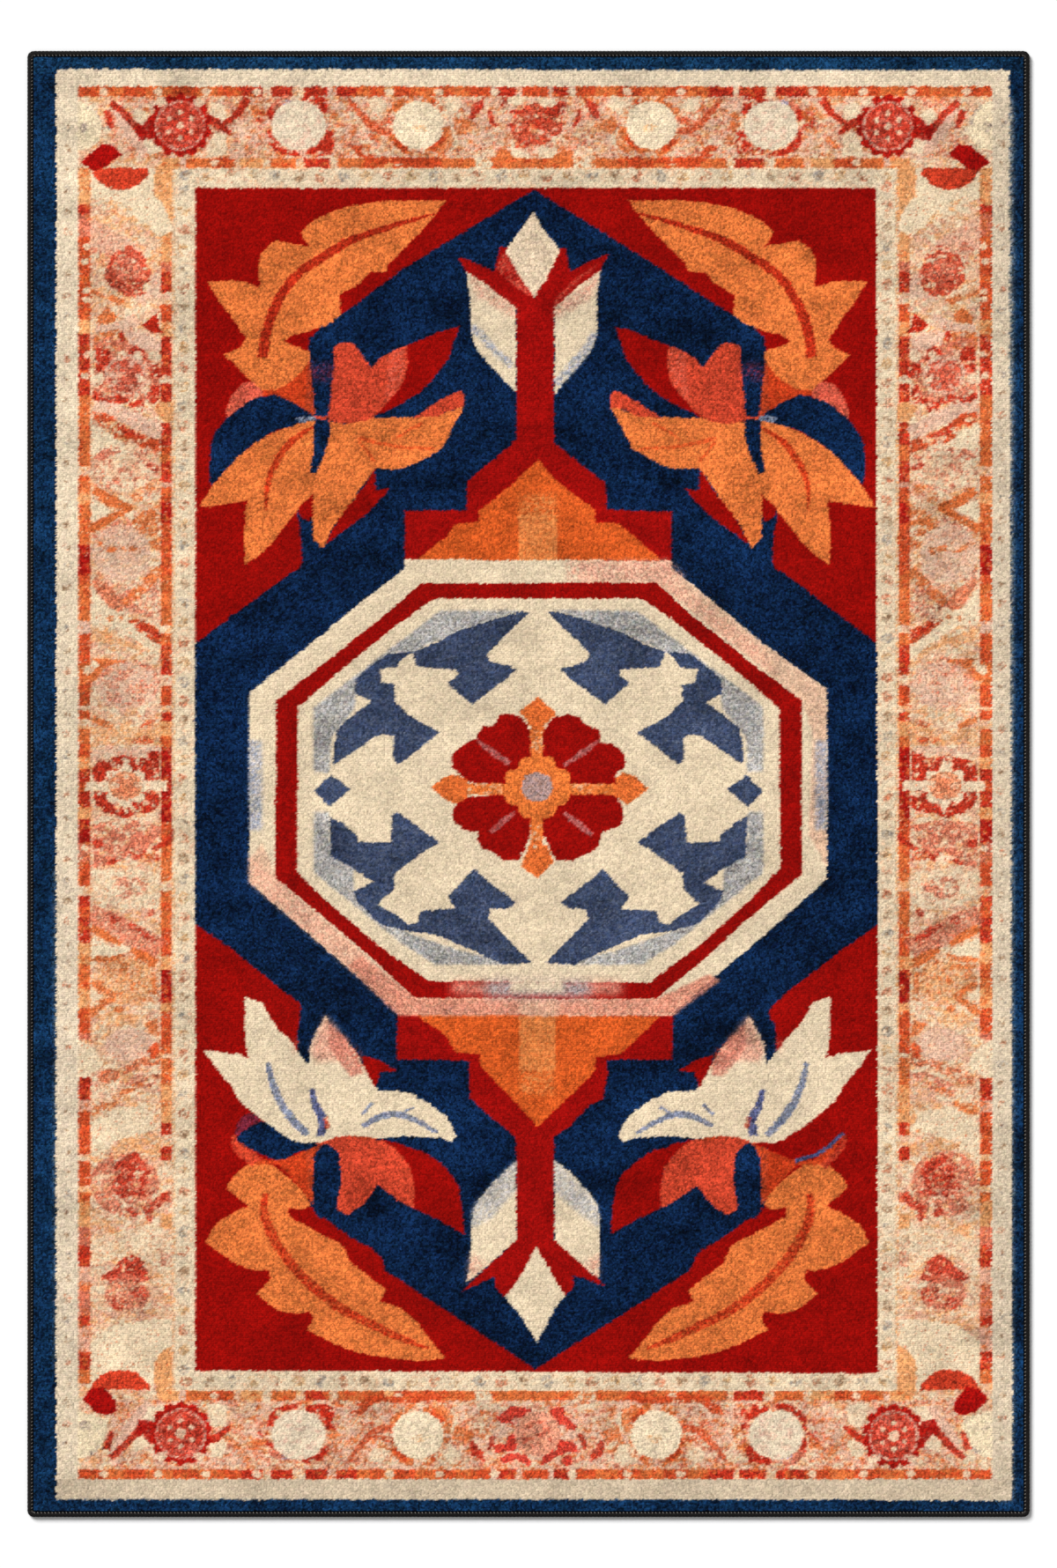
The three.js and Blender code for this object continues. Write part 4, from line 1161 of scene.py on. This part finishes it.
# Tulip at the top: stem, wings, two petals and a lozenge
STEM_LEFT, STEM_RIGHT = -14.5, 30.5
paint(STEM_RED, box(STEM_LEFT, STEM_RIGHT, 395, 590))
paint(STEM_RED, outline((-86, 631), (-70, 627), (-41, 613), (-34, 642), [(-10, 640)], (20, 640), (44, 641),
        (50, 613), (62, 620), (96, 635), (85, 613), (60, 595), (30, 569), [(8, 552)], (-17, 568),
        (-50, 596), (-72, 611)))
paint(CREAM, outline((-74, 613), (-70, 580), (-69, 545), [(-64, 524), (-45, 500)], (-15, 468), (-15, 569),
        (-50, 597)),
    outline((86, 614), (82, 585), (82, 545), [(78, 524), (60, 500)], (31, 466), (31, 570), (60, 596)))
paint(BLUSH, outline((-73, 611), (-15, 569), (-15, 556), (-62, 584)),
    outline((85, 612), (31, 570), (31, 556), (76, 582)), mix=0.6, soft=3)
paint(MIST, band([(-68, 548), (-55, 535), (-40, 518), (-20, 500)], 9, 9, 8),
    band([(80, 540), (66, 515), (44, 490), (34, 478)], 8, 13, 14), mix=0.6, soft=1)
paint(LOZENGE_CREAM, outline((6, 685), (15, 667), [(26, 653)], (38, 638), (22, 605), [(14, 594)], (7, 581),
        (-12, 610), (-28, 637), (-10, 662)))
paint(ROSE, outline((-30, 636), (-40, 618), (-16, 594), (6, 582), (-10, 606), (-22, 626)),
    outline((88, 625), (56, 598), (31, 572), (31, 580), (58, 606)), mix=0.5, soft=1)

# Tulip at the bottom
paint(STEM_RED, box(STEM_LEFT, STEM_RIGHT, -570, -405))
paint(CREAM, outline((-15, -451), (-29, -464), [(-58, -495)], (-68, -520), (-70, -578), (-75, -597),
        (-58, -584), (-15, -546)), outline((31, -450), (49, -464), [(78, -496)], (85, -518), (85, -560),
        (84, -592), (60, -572), (31, -545)))
paint(DOVE, outline((-15, -449), (-15, -486), (-45, -520), (-68, -532), [(-63, -500)]),
    outline((31, -449), (31, -486), (58, -512), (85, -532), [(80, -500)]), mix=0.72, soft=2)
paint(BLUSH, outline((-75, -598), (-70, -560), (-50, -574)), outline((84, -592), (85, -562), (66, -572)),
    mix=0.6, soft=3)
paint(STEM_RED, outline((-82, -609), (-58, -586), (-15, -546), (31, -545), (60, -572), (93, -601),
        (53, -587), (54, -600), (44, -612), [(10, -600)], (-30, -613), [(-40, -600)], (-40, -588)))
paint(CREAM, outline((9, -553), [(20, -572)], (44, -613), [(30, -630)], (10, -669), (-8, -638), (-29, -614),
        [(-12, -592)]))

red_yarn = pile_material("red_yarn", 0.015)
for side in ("left", "right"):
    tuft(f"field_{side}_pile", red_yarn)
for side in ("top", "bottom"):
    node = f"field_{side}_pile"
    middle = upright((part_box(node)[0].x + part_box(node)[1].x) / 2 / MM)
    tuft(node, red_yarn, "_a", right=middle)
    tuft(node, red_yarn, "_b", left=middle)

# ---------------------------------------------------------------------------------------------------
# Medallion: an octagon of cream and red rings with slate birds and trees round a flower, and a red
# stepped base with an orange pyramid above and below it. Its four outer corners are the spandrels.

MEDALLION_AXIS = 12
PEACH = (222, 178, 148, 0.18)
PYRAMID = (208, 88, 34, 0.22)
AMBER = (224, 136, 74, 0.18)
PEARL = (158, 157, 158, 0.28)
RING_PINK = (219, 158, 132, 0.2)
RING_ROSE = (209, 132, 108, 0.24)
MAUVE = (174, 104, 100, 0.3)
CROSS_ORANGE = (218, 112, 50, 0.24)
EYE_GREY = (152, 130, 130, 0.28)
TIP_ORANGE = (219, 106, 48, 0.24)

paint(STEM_RED, outline((-16, 412), (-25, 402), (-74, 362), (-74, 328), (-148, 327), (-148, 265),
        (171, 265), (171, 326), (94, 328), (92, 360), [(75, 373)], (48, 394), (31, 408)),
    outline((-157, -272), (-157, -329), (-71, -331), (-70, -377), (-15, -423), (31, -422), (52, -407),
        (72, -385), (89, -378), (95, -346), (93, -330), (172, -330), (173, -272)))
paint(PYRAMID, outline((11, 388), (-10, 368), [(-24, 355)], (-59, 327), (-59, 314), (-88, 311), (-97, 297),
        (-135, 268), (159, 268), (108, 312), (80, 313), (79, 328), [(50, 350)], (30, 366)),
    outline((-137, -275), (-100, -300), (-87, -321), (-59, -323), (-57, -338), [(-24, -372)], (11, -410),
        [(50, -373)], (79, -344), (81, -326), (111, -323), (157, -278)))
paint(AMBER, box(-12, 34, 268, 322), box(-11, 32, -342, -277), mix=0.8)
paint(AMBER, box(-11, 33, 316, 346), box(-10, 31, -372, -336), mix=0.45, soft=3)

paint(CREAM, outline((-148, 269), (-148, 258), (-200, 218), (-260, 168), (-334, 109), (-334, -118),
        (-260, -182), (-157, -272), (-157, -276), (173, -277), (176, -270), (281, -182), (357, -114),
        (357, 113), (281, 168), (221, 218), (171, 258), (171, 267)))
paint(PEACH, outline((-334, -90), (-334, -118), (-260, -182), (-157, -272), (-157, -276), (-50, -277),
        (-50, -256), (-136, -256), (-300, -115), (-318, -70)),
    outline((357, -100), (357, 113), (281, 168), (221, 218), (171, 258), (171, 267), (60, 267), (60, 241),
        (153, 241), (327, 100), (340, 60), (335, -60)), mix=0.85, soft=1)
paint(RING_PINK, outline((-334, -84), (-334, -118), (-260, -182), (-157, -272), (-157, -276), (-136, -256),
        (-300, -115)),
    outline((281, 160), (221, 210), (171, 250), (171, 267), (110, 267), (153, 241), (300, 124)), mix=0.6,
    soft=3)
paint(RING_ROSE, outline((-157, -277), (173, -277), (230, -235), (215, -228), (152, -257), (-136, -256),
        (-200, -206), (-216, -218)), mix=0.85, soft=1)
paint(PEACH, box(-12, 36, -277, -258), mix=0.55, soft=2)
paint(BLUSH, outline((45, 266), (171, 267), (190, 246), (160, 243), (45, 243)), mix=0.5, soft=3)
paint(MIST, box(-334, -319, 52, -55), box(343, 357, 52, -55), mix=0.7, soft=2)
paint(RED, outline((-129, 240), (-170, 204), (-250, 140), (-302, 100), (-303, -112), (-240, -163),
        (-180, -215), (-136, -256), (152, -257), (204, -215), (261, -163), (327, -108), (327, 100),
        (273, 140), (193, 204), (153, 241)))
paint(CREAM, outline((-112, 222), (-150, 196), (-230, 132), (-276, 91), (-277, -105), (-240, -141),
        (-180, -193), (-119, -236), (146, -237), (204, -193), (263, -141), (301, -100), (300, 91),
        (253, 132), (173, 196), (136, 222)))
paint(BLUSH, box(-92, 112, -252, -236), mix=0.85, soft=6)
paint(PEARL, box(-52, 74, -254, -236), mix=0.85, soft=6)
paint(CREAM, box(-22, 42, -249, -234), mix=0.9, soft=3)

# Washes along the inner edge of the cream ring, under the birds
paint(PEARL, outline((-257, 92), (-194, 140), (-152, 172), (-106, 207), (-8, 208), (-75, 186), (-140, 158),
        (-178, 140), (-206, 112), (-208, 90), (-236, 56), (-238, 14), (-257, 14)),
    outline((-257, -32), (-238, -34), (-238, -70), (-210, -96), (-209, -128), (-182, -160), (-150, -176),
        (-80, -200), (-8, -216), (-112, -216), (-150, -192), (-200, -152), (-257, -106)), mix=0.84, soft=1,
    mirror=MEDALLION_AXIS)
paint(CREAM, box(-257, -246, -34, 14), mix=0.6, soft=3, mirror=MEDALLION_AXIS)

# Slate birds, trees and lozenges
paint(SLATE, outline((2, 206), [(-20, 185)], (-50, 155), (-46, 147), (-14, 138), (-28, 124), [(-45, 112)],
        (-67, 95), [(-82, 107)], (-97, 121), (-85, 130), (-86, 137), (-133, 140), (-140, 158), (-112, 168),
        (-92, 180), (-72, 187), (-45, 196), (-10, 206)), outline((-180, 148), (-168, 156), (-140, 158),
        (-154, 146), (-156, 140), (-178, 137), (-176, 122), (-160, 119), (-160, 100), [(-146, 85),
        (-133, 76)], (-105, 62), [(-120, 51)], (-150, 27), (-158, 23), (-162, 34), (-161, 57), [(-180, 58)],
        (-207, 40), (-233, 23), (-233, 45), (-228, 67), [(-214, 79)], (-188, 98), (-208, 108), (-206, 127)),
    outline((-237, 11), (-213, -6), (-238, -27), (-257, -9)),
    outline((-238, -38), (-222, -47), (-206, -61), (-203, -69), (-165, -70), (-163, -37), (-157, -34),
        [(-130, -52)], (-106, -70), [(-125, -81)], (-160, -107), (-161, -126), (-181, -144), (-157, -157),
        (-145, -168), (-132, -165), (-130, -152), (-88, -149), (-97, -134), [(-84, -122)], (-65, -101),
        [(-52, -113)], (-14, -142), (-24, -149), (-45, -150), (-48, -161), (-20, -190), (4, -214),
        (-30, -216), (-70, -198), (-112, -180), (-148, -176), (-182, -165), (-205, -140), (-209, -128),
        (-186, -118), [(-212, -100)], (-236, -87)), mix=0.93, mirror=MEDALLION_AXIS)

# Flower in the middle
FLOWER = (10.5, -3.5)
paint(RED, outline((4, 63), [(-7, 78)], (-22, 84), [(-35, 82)], (-43, 68), [(-54, 68)], (-63, 55),
        (-75, 48), [(-90, 36)], (-91, 20), (-80, 10), (-73, 2), (-20, 0), (4, 20)),
    outline((17, 63), [(30, 79)], (48, 83), (60, 81), (69, 70), [(84, 64)], (86, 50), (99, 49), [(114, 36)],
        (115, 20), (104, 12), (103, 0), (40, 0), (17, 20)), outline((2, -60), [(-5, -80)], (-12, -91),
        (-30, -91), (-46, -79), (-56, -78), (-61, -66), (-60, -57), (-78, -55), [(-91, -40)], (-88, -26),
        (-80, -17), (-30, -12), (2, -28)), outline((17, -60), (28, -82), (32, -91), (52, -92), [(68, -84)],
        (83, -76), (88, -58), [(108, -50)], (114, -40), (112, -26), (103, -13), (45, -12), (17, -28)))
paint(MAUVE, band([(-62, 53), (-40, 36), (-22, 24)], 4, 8, 6),
    band([(84, 52), (64, 37), (43, 22)], 3, 8, 5), band([(-46, -58), (-32, -46), (-16, -34)], 5, 8, 5),
    band([(77, -62), (60, -48), (42, -35)], 4, 8, 5), mix=0.8)
paint(CROSS_ORANGE, box(2.5, 17.5, -78, 78), box(-73, 103, -13, 0.5), rounded(FLOWER, 34, 32),
    *(rounded(at, 11) for at in around(FLOWER, 30, np.pi * (np.arange(8) / 4 + 1 / 8), 28)))
paint(PEACH_GROUND, box(3, 17, 36, 76), box(3, 17, -76, -46), box(-72, -32, -12, 0), box(52, 102, -12, 0),
    mix=0.3, patchy=0.4)
paint(EYE_GREY, rounded(FLOWER, 19, 17.5), mix=0.92)
paint(TIP_ORANGE,
    outline((12, 105), (0, 94), (-11, 87), (-3, 76), (4, 65), (17, 65), (24, 75), (33, 84), (22, 95)),
    outline((11, -113), (-9, -98), (-1, -79), (4, -68), (17, -68), (25, -78), (30, -93)),
    outline((-117, -4), [(-104, 6)], (-90, 13), (-73, 4), (-73, -16), (-88, -24), (-103, -16)),
    outline((143, -5), (128, 8), (113, 14), (103, 6), (103, -14), (118, -25), (132, -14)))
paint(CREAM,
    *(rounded(at, 2.6) for at in ((-4, 77), (1, 68), (20, 70), (-70, -6), (-7, -84), (8, -75), (19, -70))),
    mix=0.8)

CUT_X = 186  # how far each slanted corner runs across
CUT_Y = 156  # and along
SHEAR_LINE = 0.3  # groove between the medallion and a spandrel
slate_yarn = pile_material("slate_yarn", 0.02)
low, high = (np.array(corner)[:2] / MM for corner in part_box("medallion_pile"))
middle = upright((low[0] + high[0]) / 2)


def cut_in(y):
    """How far the slanted corners run in from the medallion's sides, in terms of y."""
    return CUT_X * np.clip(1 - np.minimum(y - low[1], high[1] - y) / CUT_Y, 0, 1)


def spandrel_width(y):
    """How wide a spandrel is, in terms of y: the cut less the groove, and never quite nothing."""
    return np.maximum(cut_in(y) - SHEAR_LINE * np.hypot(CUT_X, CUT_Y) / CUT_Y, 0.2)


tuft("medallion_pile", slate_yarn, "_a", lambda y: low[0] + cut_in(y), middle)
tuft("medallion_pile", slate_yarn, "_b", middle, lambda y: high[0] - cut_in(y))
for end in ("top", "bottom"):
    tuft(f"spandrel_{end}_left_pile", navy_yarn,
         left=upright(low[0]), right=lambda y: low[0] + spandrel_width(y))
    tuft(f"spandrel_{end}_right_pile", navy_yarn,
         left=lambda y: high[0] - spandrel_width(y), right=upright(high[0]))

# ---------------------------------------------------------------------------------------------------
# Serged edge: near-black yarn wrapped round the cut edge of the ground, turn beside turn, by machine,
# with pale stitches at its inner edge. The turns slant a little. The end runs turn the corners, and
# the side runs stand between them.

WRAP = 2.3 * MM  # half of the way from one turn to the next
WRAP_DEPTH = 0.3 * MM
WRAP_SLANT = 0.9 * MM
SECTION_ROUNDNESS = 2.5
PILE_CLEARANCE = 0.1 * MM
SLOT_DEPTH = 2.7 * MM  # yarn outside the cut edge of the ground
YARN_COLOUR = (0.0045, 0.0040, 0.0038, 1)
FIBRE_COLOUR = (0.013, 0.0115, 0.011, 1)
STITCH_COLOUR = (0.24, 0.22, 0.20, 1)
STITCH_PITCH = 4.3 * MM
STITCH_SLANT = 14 * MM
STITCH_SHARE = 0.2  # of the pitch that a stitch takes
STITCH_INNER, STITCH_OUTER = 0.12, 0.19  # where a stitch begins and ends, as shares of the way round

low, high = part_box("serged_edge_right")
corner_radius = high.x - low.x
SERGE_WIDTH = corner_radius - PILE_CLEARANCE
SERGE_HEIGHT = high.z - low.z
slot_low, slot_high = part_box("latex_coat")[0].z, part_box("primary_backing")[1].z


def serged_run(side, along, out, straight, corner, wall):
    """A run of serging as a section carried along a path. The section is a superellipse with a slot
    in its inner side for the edge of the ground. The path is straight for that length each way, and
    then turns by its own length over the corner radius. Every second ring is drawn in by the depth
    of the groove between two turns, and a ring's points lie ahead by their place in the width."""
    angle = np.radians(np.linspace(188, -146, 11))
    power = 2 / SECTION_ROUNDNESS
    round_out = np.sign(np.cos(angle)) * np.abs(np.cos(angle)) ** power
    round_up = np.sign(np.sin(angle)) * np.abs(np.sin(angle)) ** power
    reach = straight + corner * np.pi / 2
    rings = 2 * round(reach / WRAP) + 1
    s = np.linspace(-reach, reach, rings)[:, None]
    groove = WRAP_DEPTH * (np.arange(rings) % 2)[:, None]
    from_wall = SERGE_WIDTH / 2 + (SERGE_WIDTH / 2 - groove) * round_out
    height = SERGE_HEIGHT / 2 + (SERGE_HEIGHT / 2 - groove) * round_up
    slot = np.ones((rings, 2))
    from_wall = np.hstack([from_wall, slot * (SERGE_WIDTH - SLOT_DEPTH)])
    height = np.hstack([height, slot * (slot_low, slot_high)])
    ahead = WRAP_SLANT * (2 * from_wall / SERGE_WIDTH - 1) * np.minimum(1, (reach - np.abs(s)) / (4 * WRAP))
    s = s + ahead
    bend = np.clip(s, -straight, straight)
    turn = (s - bend) / corner if corner else np.zeros_like(s)
    distance = PILE_CLEARANCE + from_wall
    on = bend + distance * np.sin(turn)
    off = wall + distance * np.cos(turn)
    x = on * along[0] + off * out[0]
    y = on * along[1] + off * out[1]
    columns = x.shape[1]
    index = np.arange(x.size).reshape(x.shape)
    index = np.hstack([index, index[:, :1]])
    skin = grid_faces(index)[:, ::-1]
    loops = np.concatenate([skin.ravel(), index[0, :-1], index[-1, -2::-1]])
    starts = [*range(0, skin.size + 1, 4), skin.size + columns]
    piece = make_mesh(f"serging_{side}", np.stack([x, y, height], -1).reshape(-1, 3), loops, starts)
    wrap = piece.data.uv_layers.new(name="wrap")
    corners = np.empty(len(loops), np.int32)
    piece.data.loops.foreach_get("vertex_index", corners)
    place = np.stack([s.ravel(), np.tile(np.arange(columns) / columns, rings)], -1)
    wrap.data.foreach_set("uv", place[corners].astype(np.float32).ravel())
    return piece


serging_yarn, tree, bsdf = new_material(
    "serging_yarn", Roughness=0.75, Specular_IOR_Level=0.1, Sheen_Weight=0.02, Sheen_Roughness=0.5
)
place = add(tree, "ShaderNodeTexCoord").outputs["Object"]
fibre = add(tree, "ShaderNodeTexNoise", {"Vector": place, "Scale": 1100.0, "Detail": 2.0}).outputs[0]
wrapped = add(tree, "ShaderNodeSeparateXYZ", {0: add(tree, "ShaderNodeUVMap", uv_map="wrap").outputs[0]})
along_wrap, round_wrap = wrapped.outputs["X"], wrapped.outputs["Y"]
slanted = maths(tree, "MULTIPLY_ADD", round_wrap, STITCH_SLANT, along_wrap)
phase = maths(tree, "FRACT", maths(tree, "DIVIDE", slanted, STITCH_PITCH))
stitch = maths(tree, "LESS_THAN", phase, STITCH_SHARE)
past_inner = maths(tree, "GREATER_THAN", round_wrap, STITCH_INNER)
before_outer = maths(tree, "LESS_THAN", round_wrap, STITCH_OUTER)
stitch = maths(tree, "MULTIPLY", stitch, maths(tree, "MULTIPLY", past_inner, before_outer))
lit = tinted(tree, YARN_COLOUR, FIBRE_COLOUR, maths(tree, "MULTIPLY_ADD", fibre, 3.0, -1.2))
tree.links.new(tinted(tree, lit, STITCH_COLOUR, stitch), bsdf.inputs["Base Color"])
fuzz = add(tree, "ShaderNodeBump", {"Height": fibre, "Distance": 0.25 * MM, "Strength": 0.5})
tree.links.new(fuzz.outputs[0], bsdf.inputs["Normal"])

half_width, half_length = low.x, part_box("serged_edge_top")[0].y
end_run = (half_width, corner_radius, half_length)
side_run = (half_length, 0, half_width)
sides = (("top", (1, 0), (0, 1), end_run), ("right", (0, -1), (1, 0), side_run),
         ("bottom", (-1, 0), (0, -1), end_run), ("left", (0, 1), (-1, 0), side_run))
for side, along, out, lengths in sides:
    piece = serged_run(side, along, out, *lengths)
    piece.data.materials.append(serging_yarn)
    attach(piece, "root")
    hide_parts(f"serged_edge_{side}")

# ---------------------------------------------------------------------------------------------------
# Dyeing: each tuft takes the yarn of its place in the finished chart, so that one design runs on over
# the seams between the bands. The chart's colours are as seen, and are made linear here. Painted shade
# makes the hollows between rows darker and the crests lighter.

LIGHTNESS = 0.93
BETWEEN_TUFTS = 0.6  # the strands' difference from tuft to tuft; the rest of it is within a tuft
HUE_DRIFT = 0.15  # how much of that each of red, green and blue drifts on its own
CLOUDS = 0.5  # broad unevenness, in the same measure
ROW_SHADE = 0.15  # painted shade: how much darker the hollows between rows are
strand = 0.45 * haze(2.6, 2.4) + 1.2 * haze(TUFT, ROW)
drift = np.stack([haze(2.6, 2.4) for _ in range(3)], -1)
cloud = 0.75 * haze(45, 30) + 0.5 * haze(12, 12)

for piece in pile_pieces:
    mesh = piece.data
    place = np.empty(3 * len(mesh.vertices), np.float32)
    mesh.vertices.foreach_get("co", place)
    x, y, _ = place.reshape(-1, 3).T / MM
    seen = at_cells(chart, x, y)
    seen_colour = np.clip(seen[:, :3] / 255, 0, 1)
    linear = np.where(seen_colour < 0.04045, seen_colour / 12.92, ((seen_colour + 0.055) / 1.055) ** 2.4)
    hollow = np.rint((y - chart_y[0]) / ROW) % 2
    between = at_cells(strand, x, y)[:, None] + HUE_DRIFT * at_cells(drift, x, y)
    uneven = 1 + seen[:, 3:] * (BETWEEN_TUFTS * between + CLOUDS * at_cells(cloud, x, y)[:, None])
    dye_and_row_shade = np.empty((len(x), 4), np.float32)
    # painted shade: darker in the hollows between rows, lighter on the crests
    dye_and_row_shade[:, :3] = LIGHTNESS * linear * uneven.clip(0.3, 2.2) * (1 + ROW_SHADE * (0.5 - hollow))[:, None]
    dye_and_row_shade[:, 3] = seen[:, 3]
    mesh.attributes.new("dye_and_row_shade", "FLOAT_COLOR", "POINT").data.foreach_set("color", dye_and_row_shade.ravel())
    corners = np.empty(len(mesh.loops), np.int32)
    mesh.loops.foreach_get("vertex_index", corners)
    plan = np.stack([(x - PILE_LOW[0]) / np.ptp(chart_x), (y - PILE_LOW[1]) / np.ptp(chart_y)], -1)
    mesh.uv_layers.new(name="OFBake").data.foreach_set("uv", plan[corners].astype(np.float32).ravel())

# ---------------------------------------------------------------------------------------------------
# Floor, light and camera: a plain pale floor, a large soft lamp from the upper left, and a camera
# straight above the middle.

FLOOR_SIZE = 40.0
FLOOR_COLOUR = (0.95, 0.95, 0.95, 1)
SUN_STRENGTH = 3.7
SUN_SOFTNESS = np.radians(28)
SUN_TILT = np.radians(-38)
SKY_STRENGTH = 0.38
CAMERA_HEIGHT = 12.0
VIEW_LENGTH = 1.877
SENSOR = 36.0

edge = FLOOR_SIZE / 2
floor_corners = [(-edge, -edge, 0), (edge, -edge, 0), (edge, edge, 0), (-edge, edge, 0)]
floor = bpy.data.objects.new("floor", bpy.data.meshes.new("floor"))
floor.data.from_pydata(floor_corners, [], [(0, 1, 2, 3)])
plain_floor, tree, bsdf = new_material(
    "plain_floor", Base_Color=FLOOR_COLOUR, Roughness=0.9, Specular_IOR_Level=0.1
)
floor.data.materials.append(plain_floor)
bpy.context.scene.collection.objects.link(floor)

sun = bpy.data.objects.new("sun", bpy.data.lights.new("sun", "SUN"))
sun.data.energy = SUN_STRENGTH
sun.data.angle = SUN_SOFTNESS
sun.rotation_euler = (SUN_TILT, SUN_TILT, 0)
bpy.context.scene.collection.objects.link(sun)

world = bpy.data.worlds.new("studio")
world.use_nodes = True
world.node_tree.nodes["Background"].inputs["Color"].default_value = (1, 1, 1, 1)
world.node_tree.nodes["Background"].inputs["Strength"].default_value = SKY_STRENGTH
bpy.context.scene.world = world
bpy.context.scene.view_settings.view_transform = "Standard"

camera = bpy.data.objects.new("camera", bpy.data.cameras.new("camera"))
camera.location = (0, 0, CAMERA_HEIGHT)
camera.data.sensor_width = SENSOR
camera.data.lens = SENSOR * CAMERA_HEIGHT / VIEW_LENGTH
camera.data.clip_end = 100
bpy.context.scene.collection.objects.link(camera)
bpy.context.scene.camera = camera
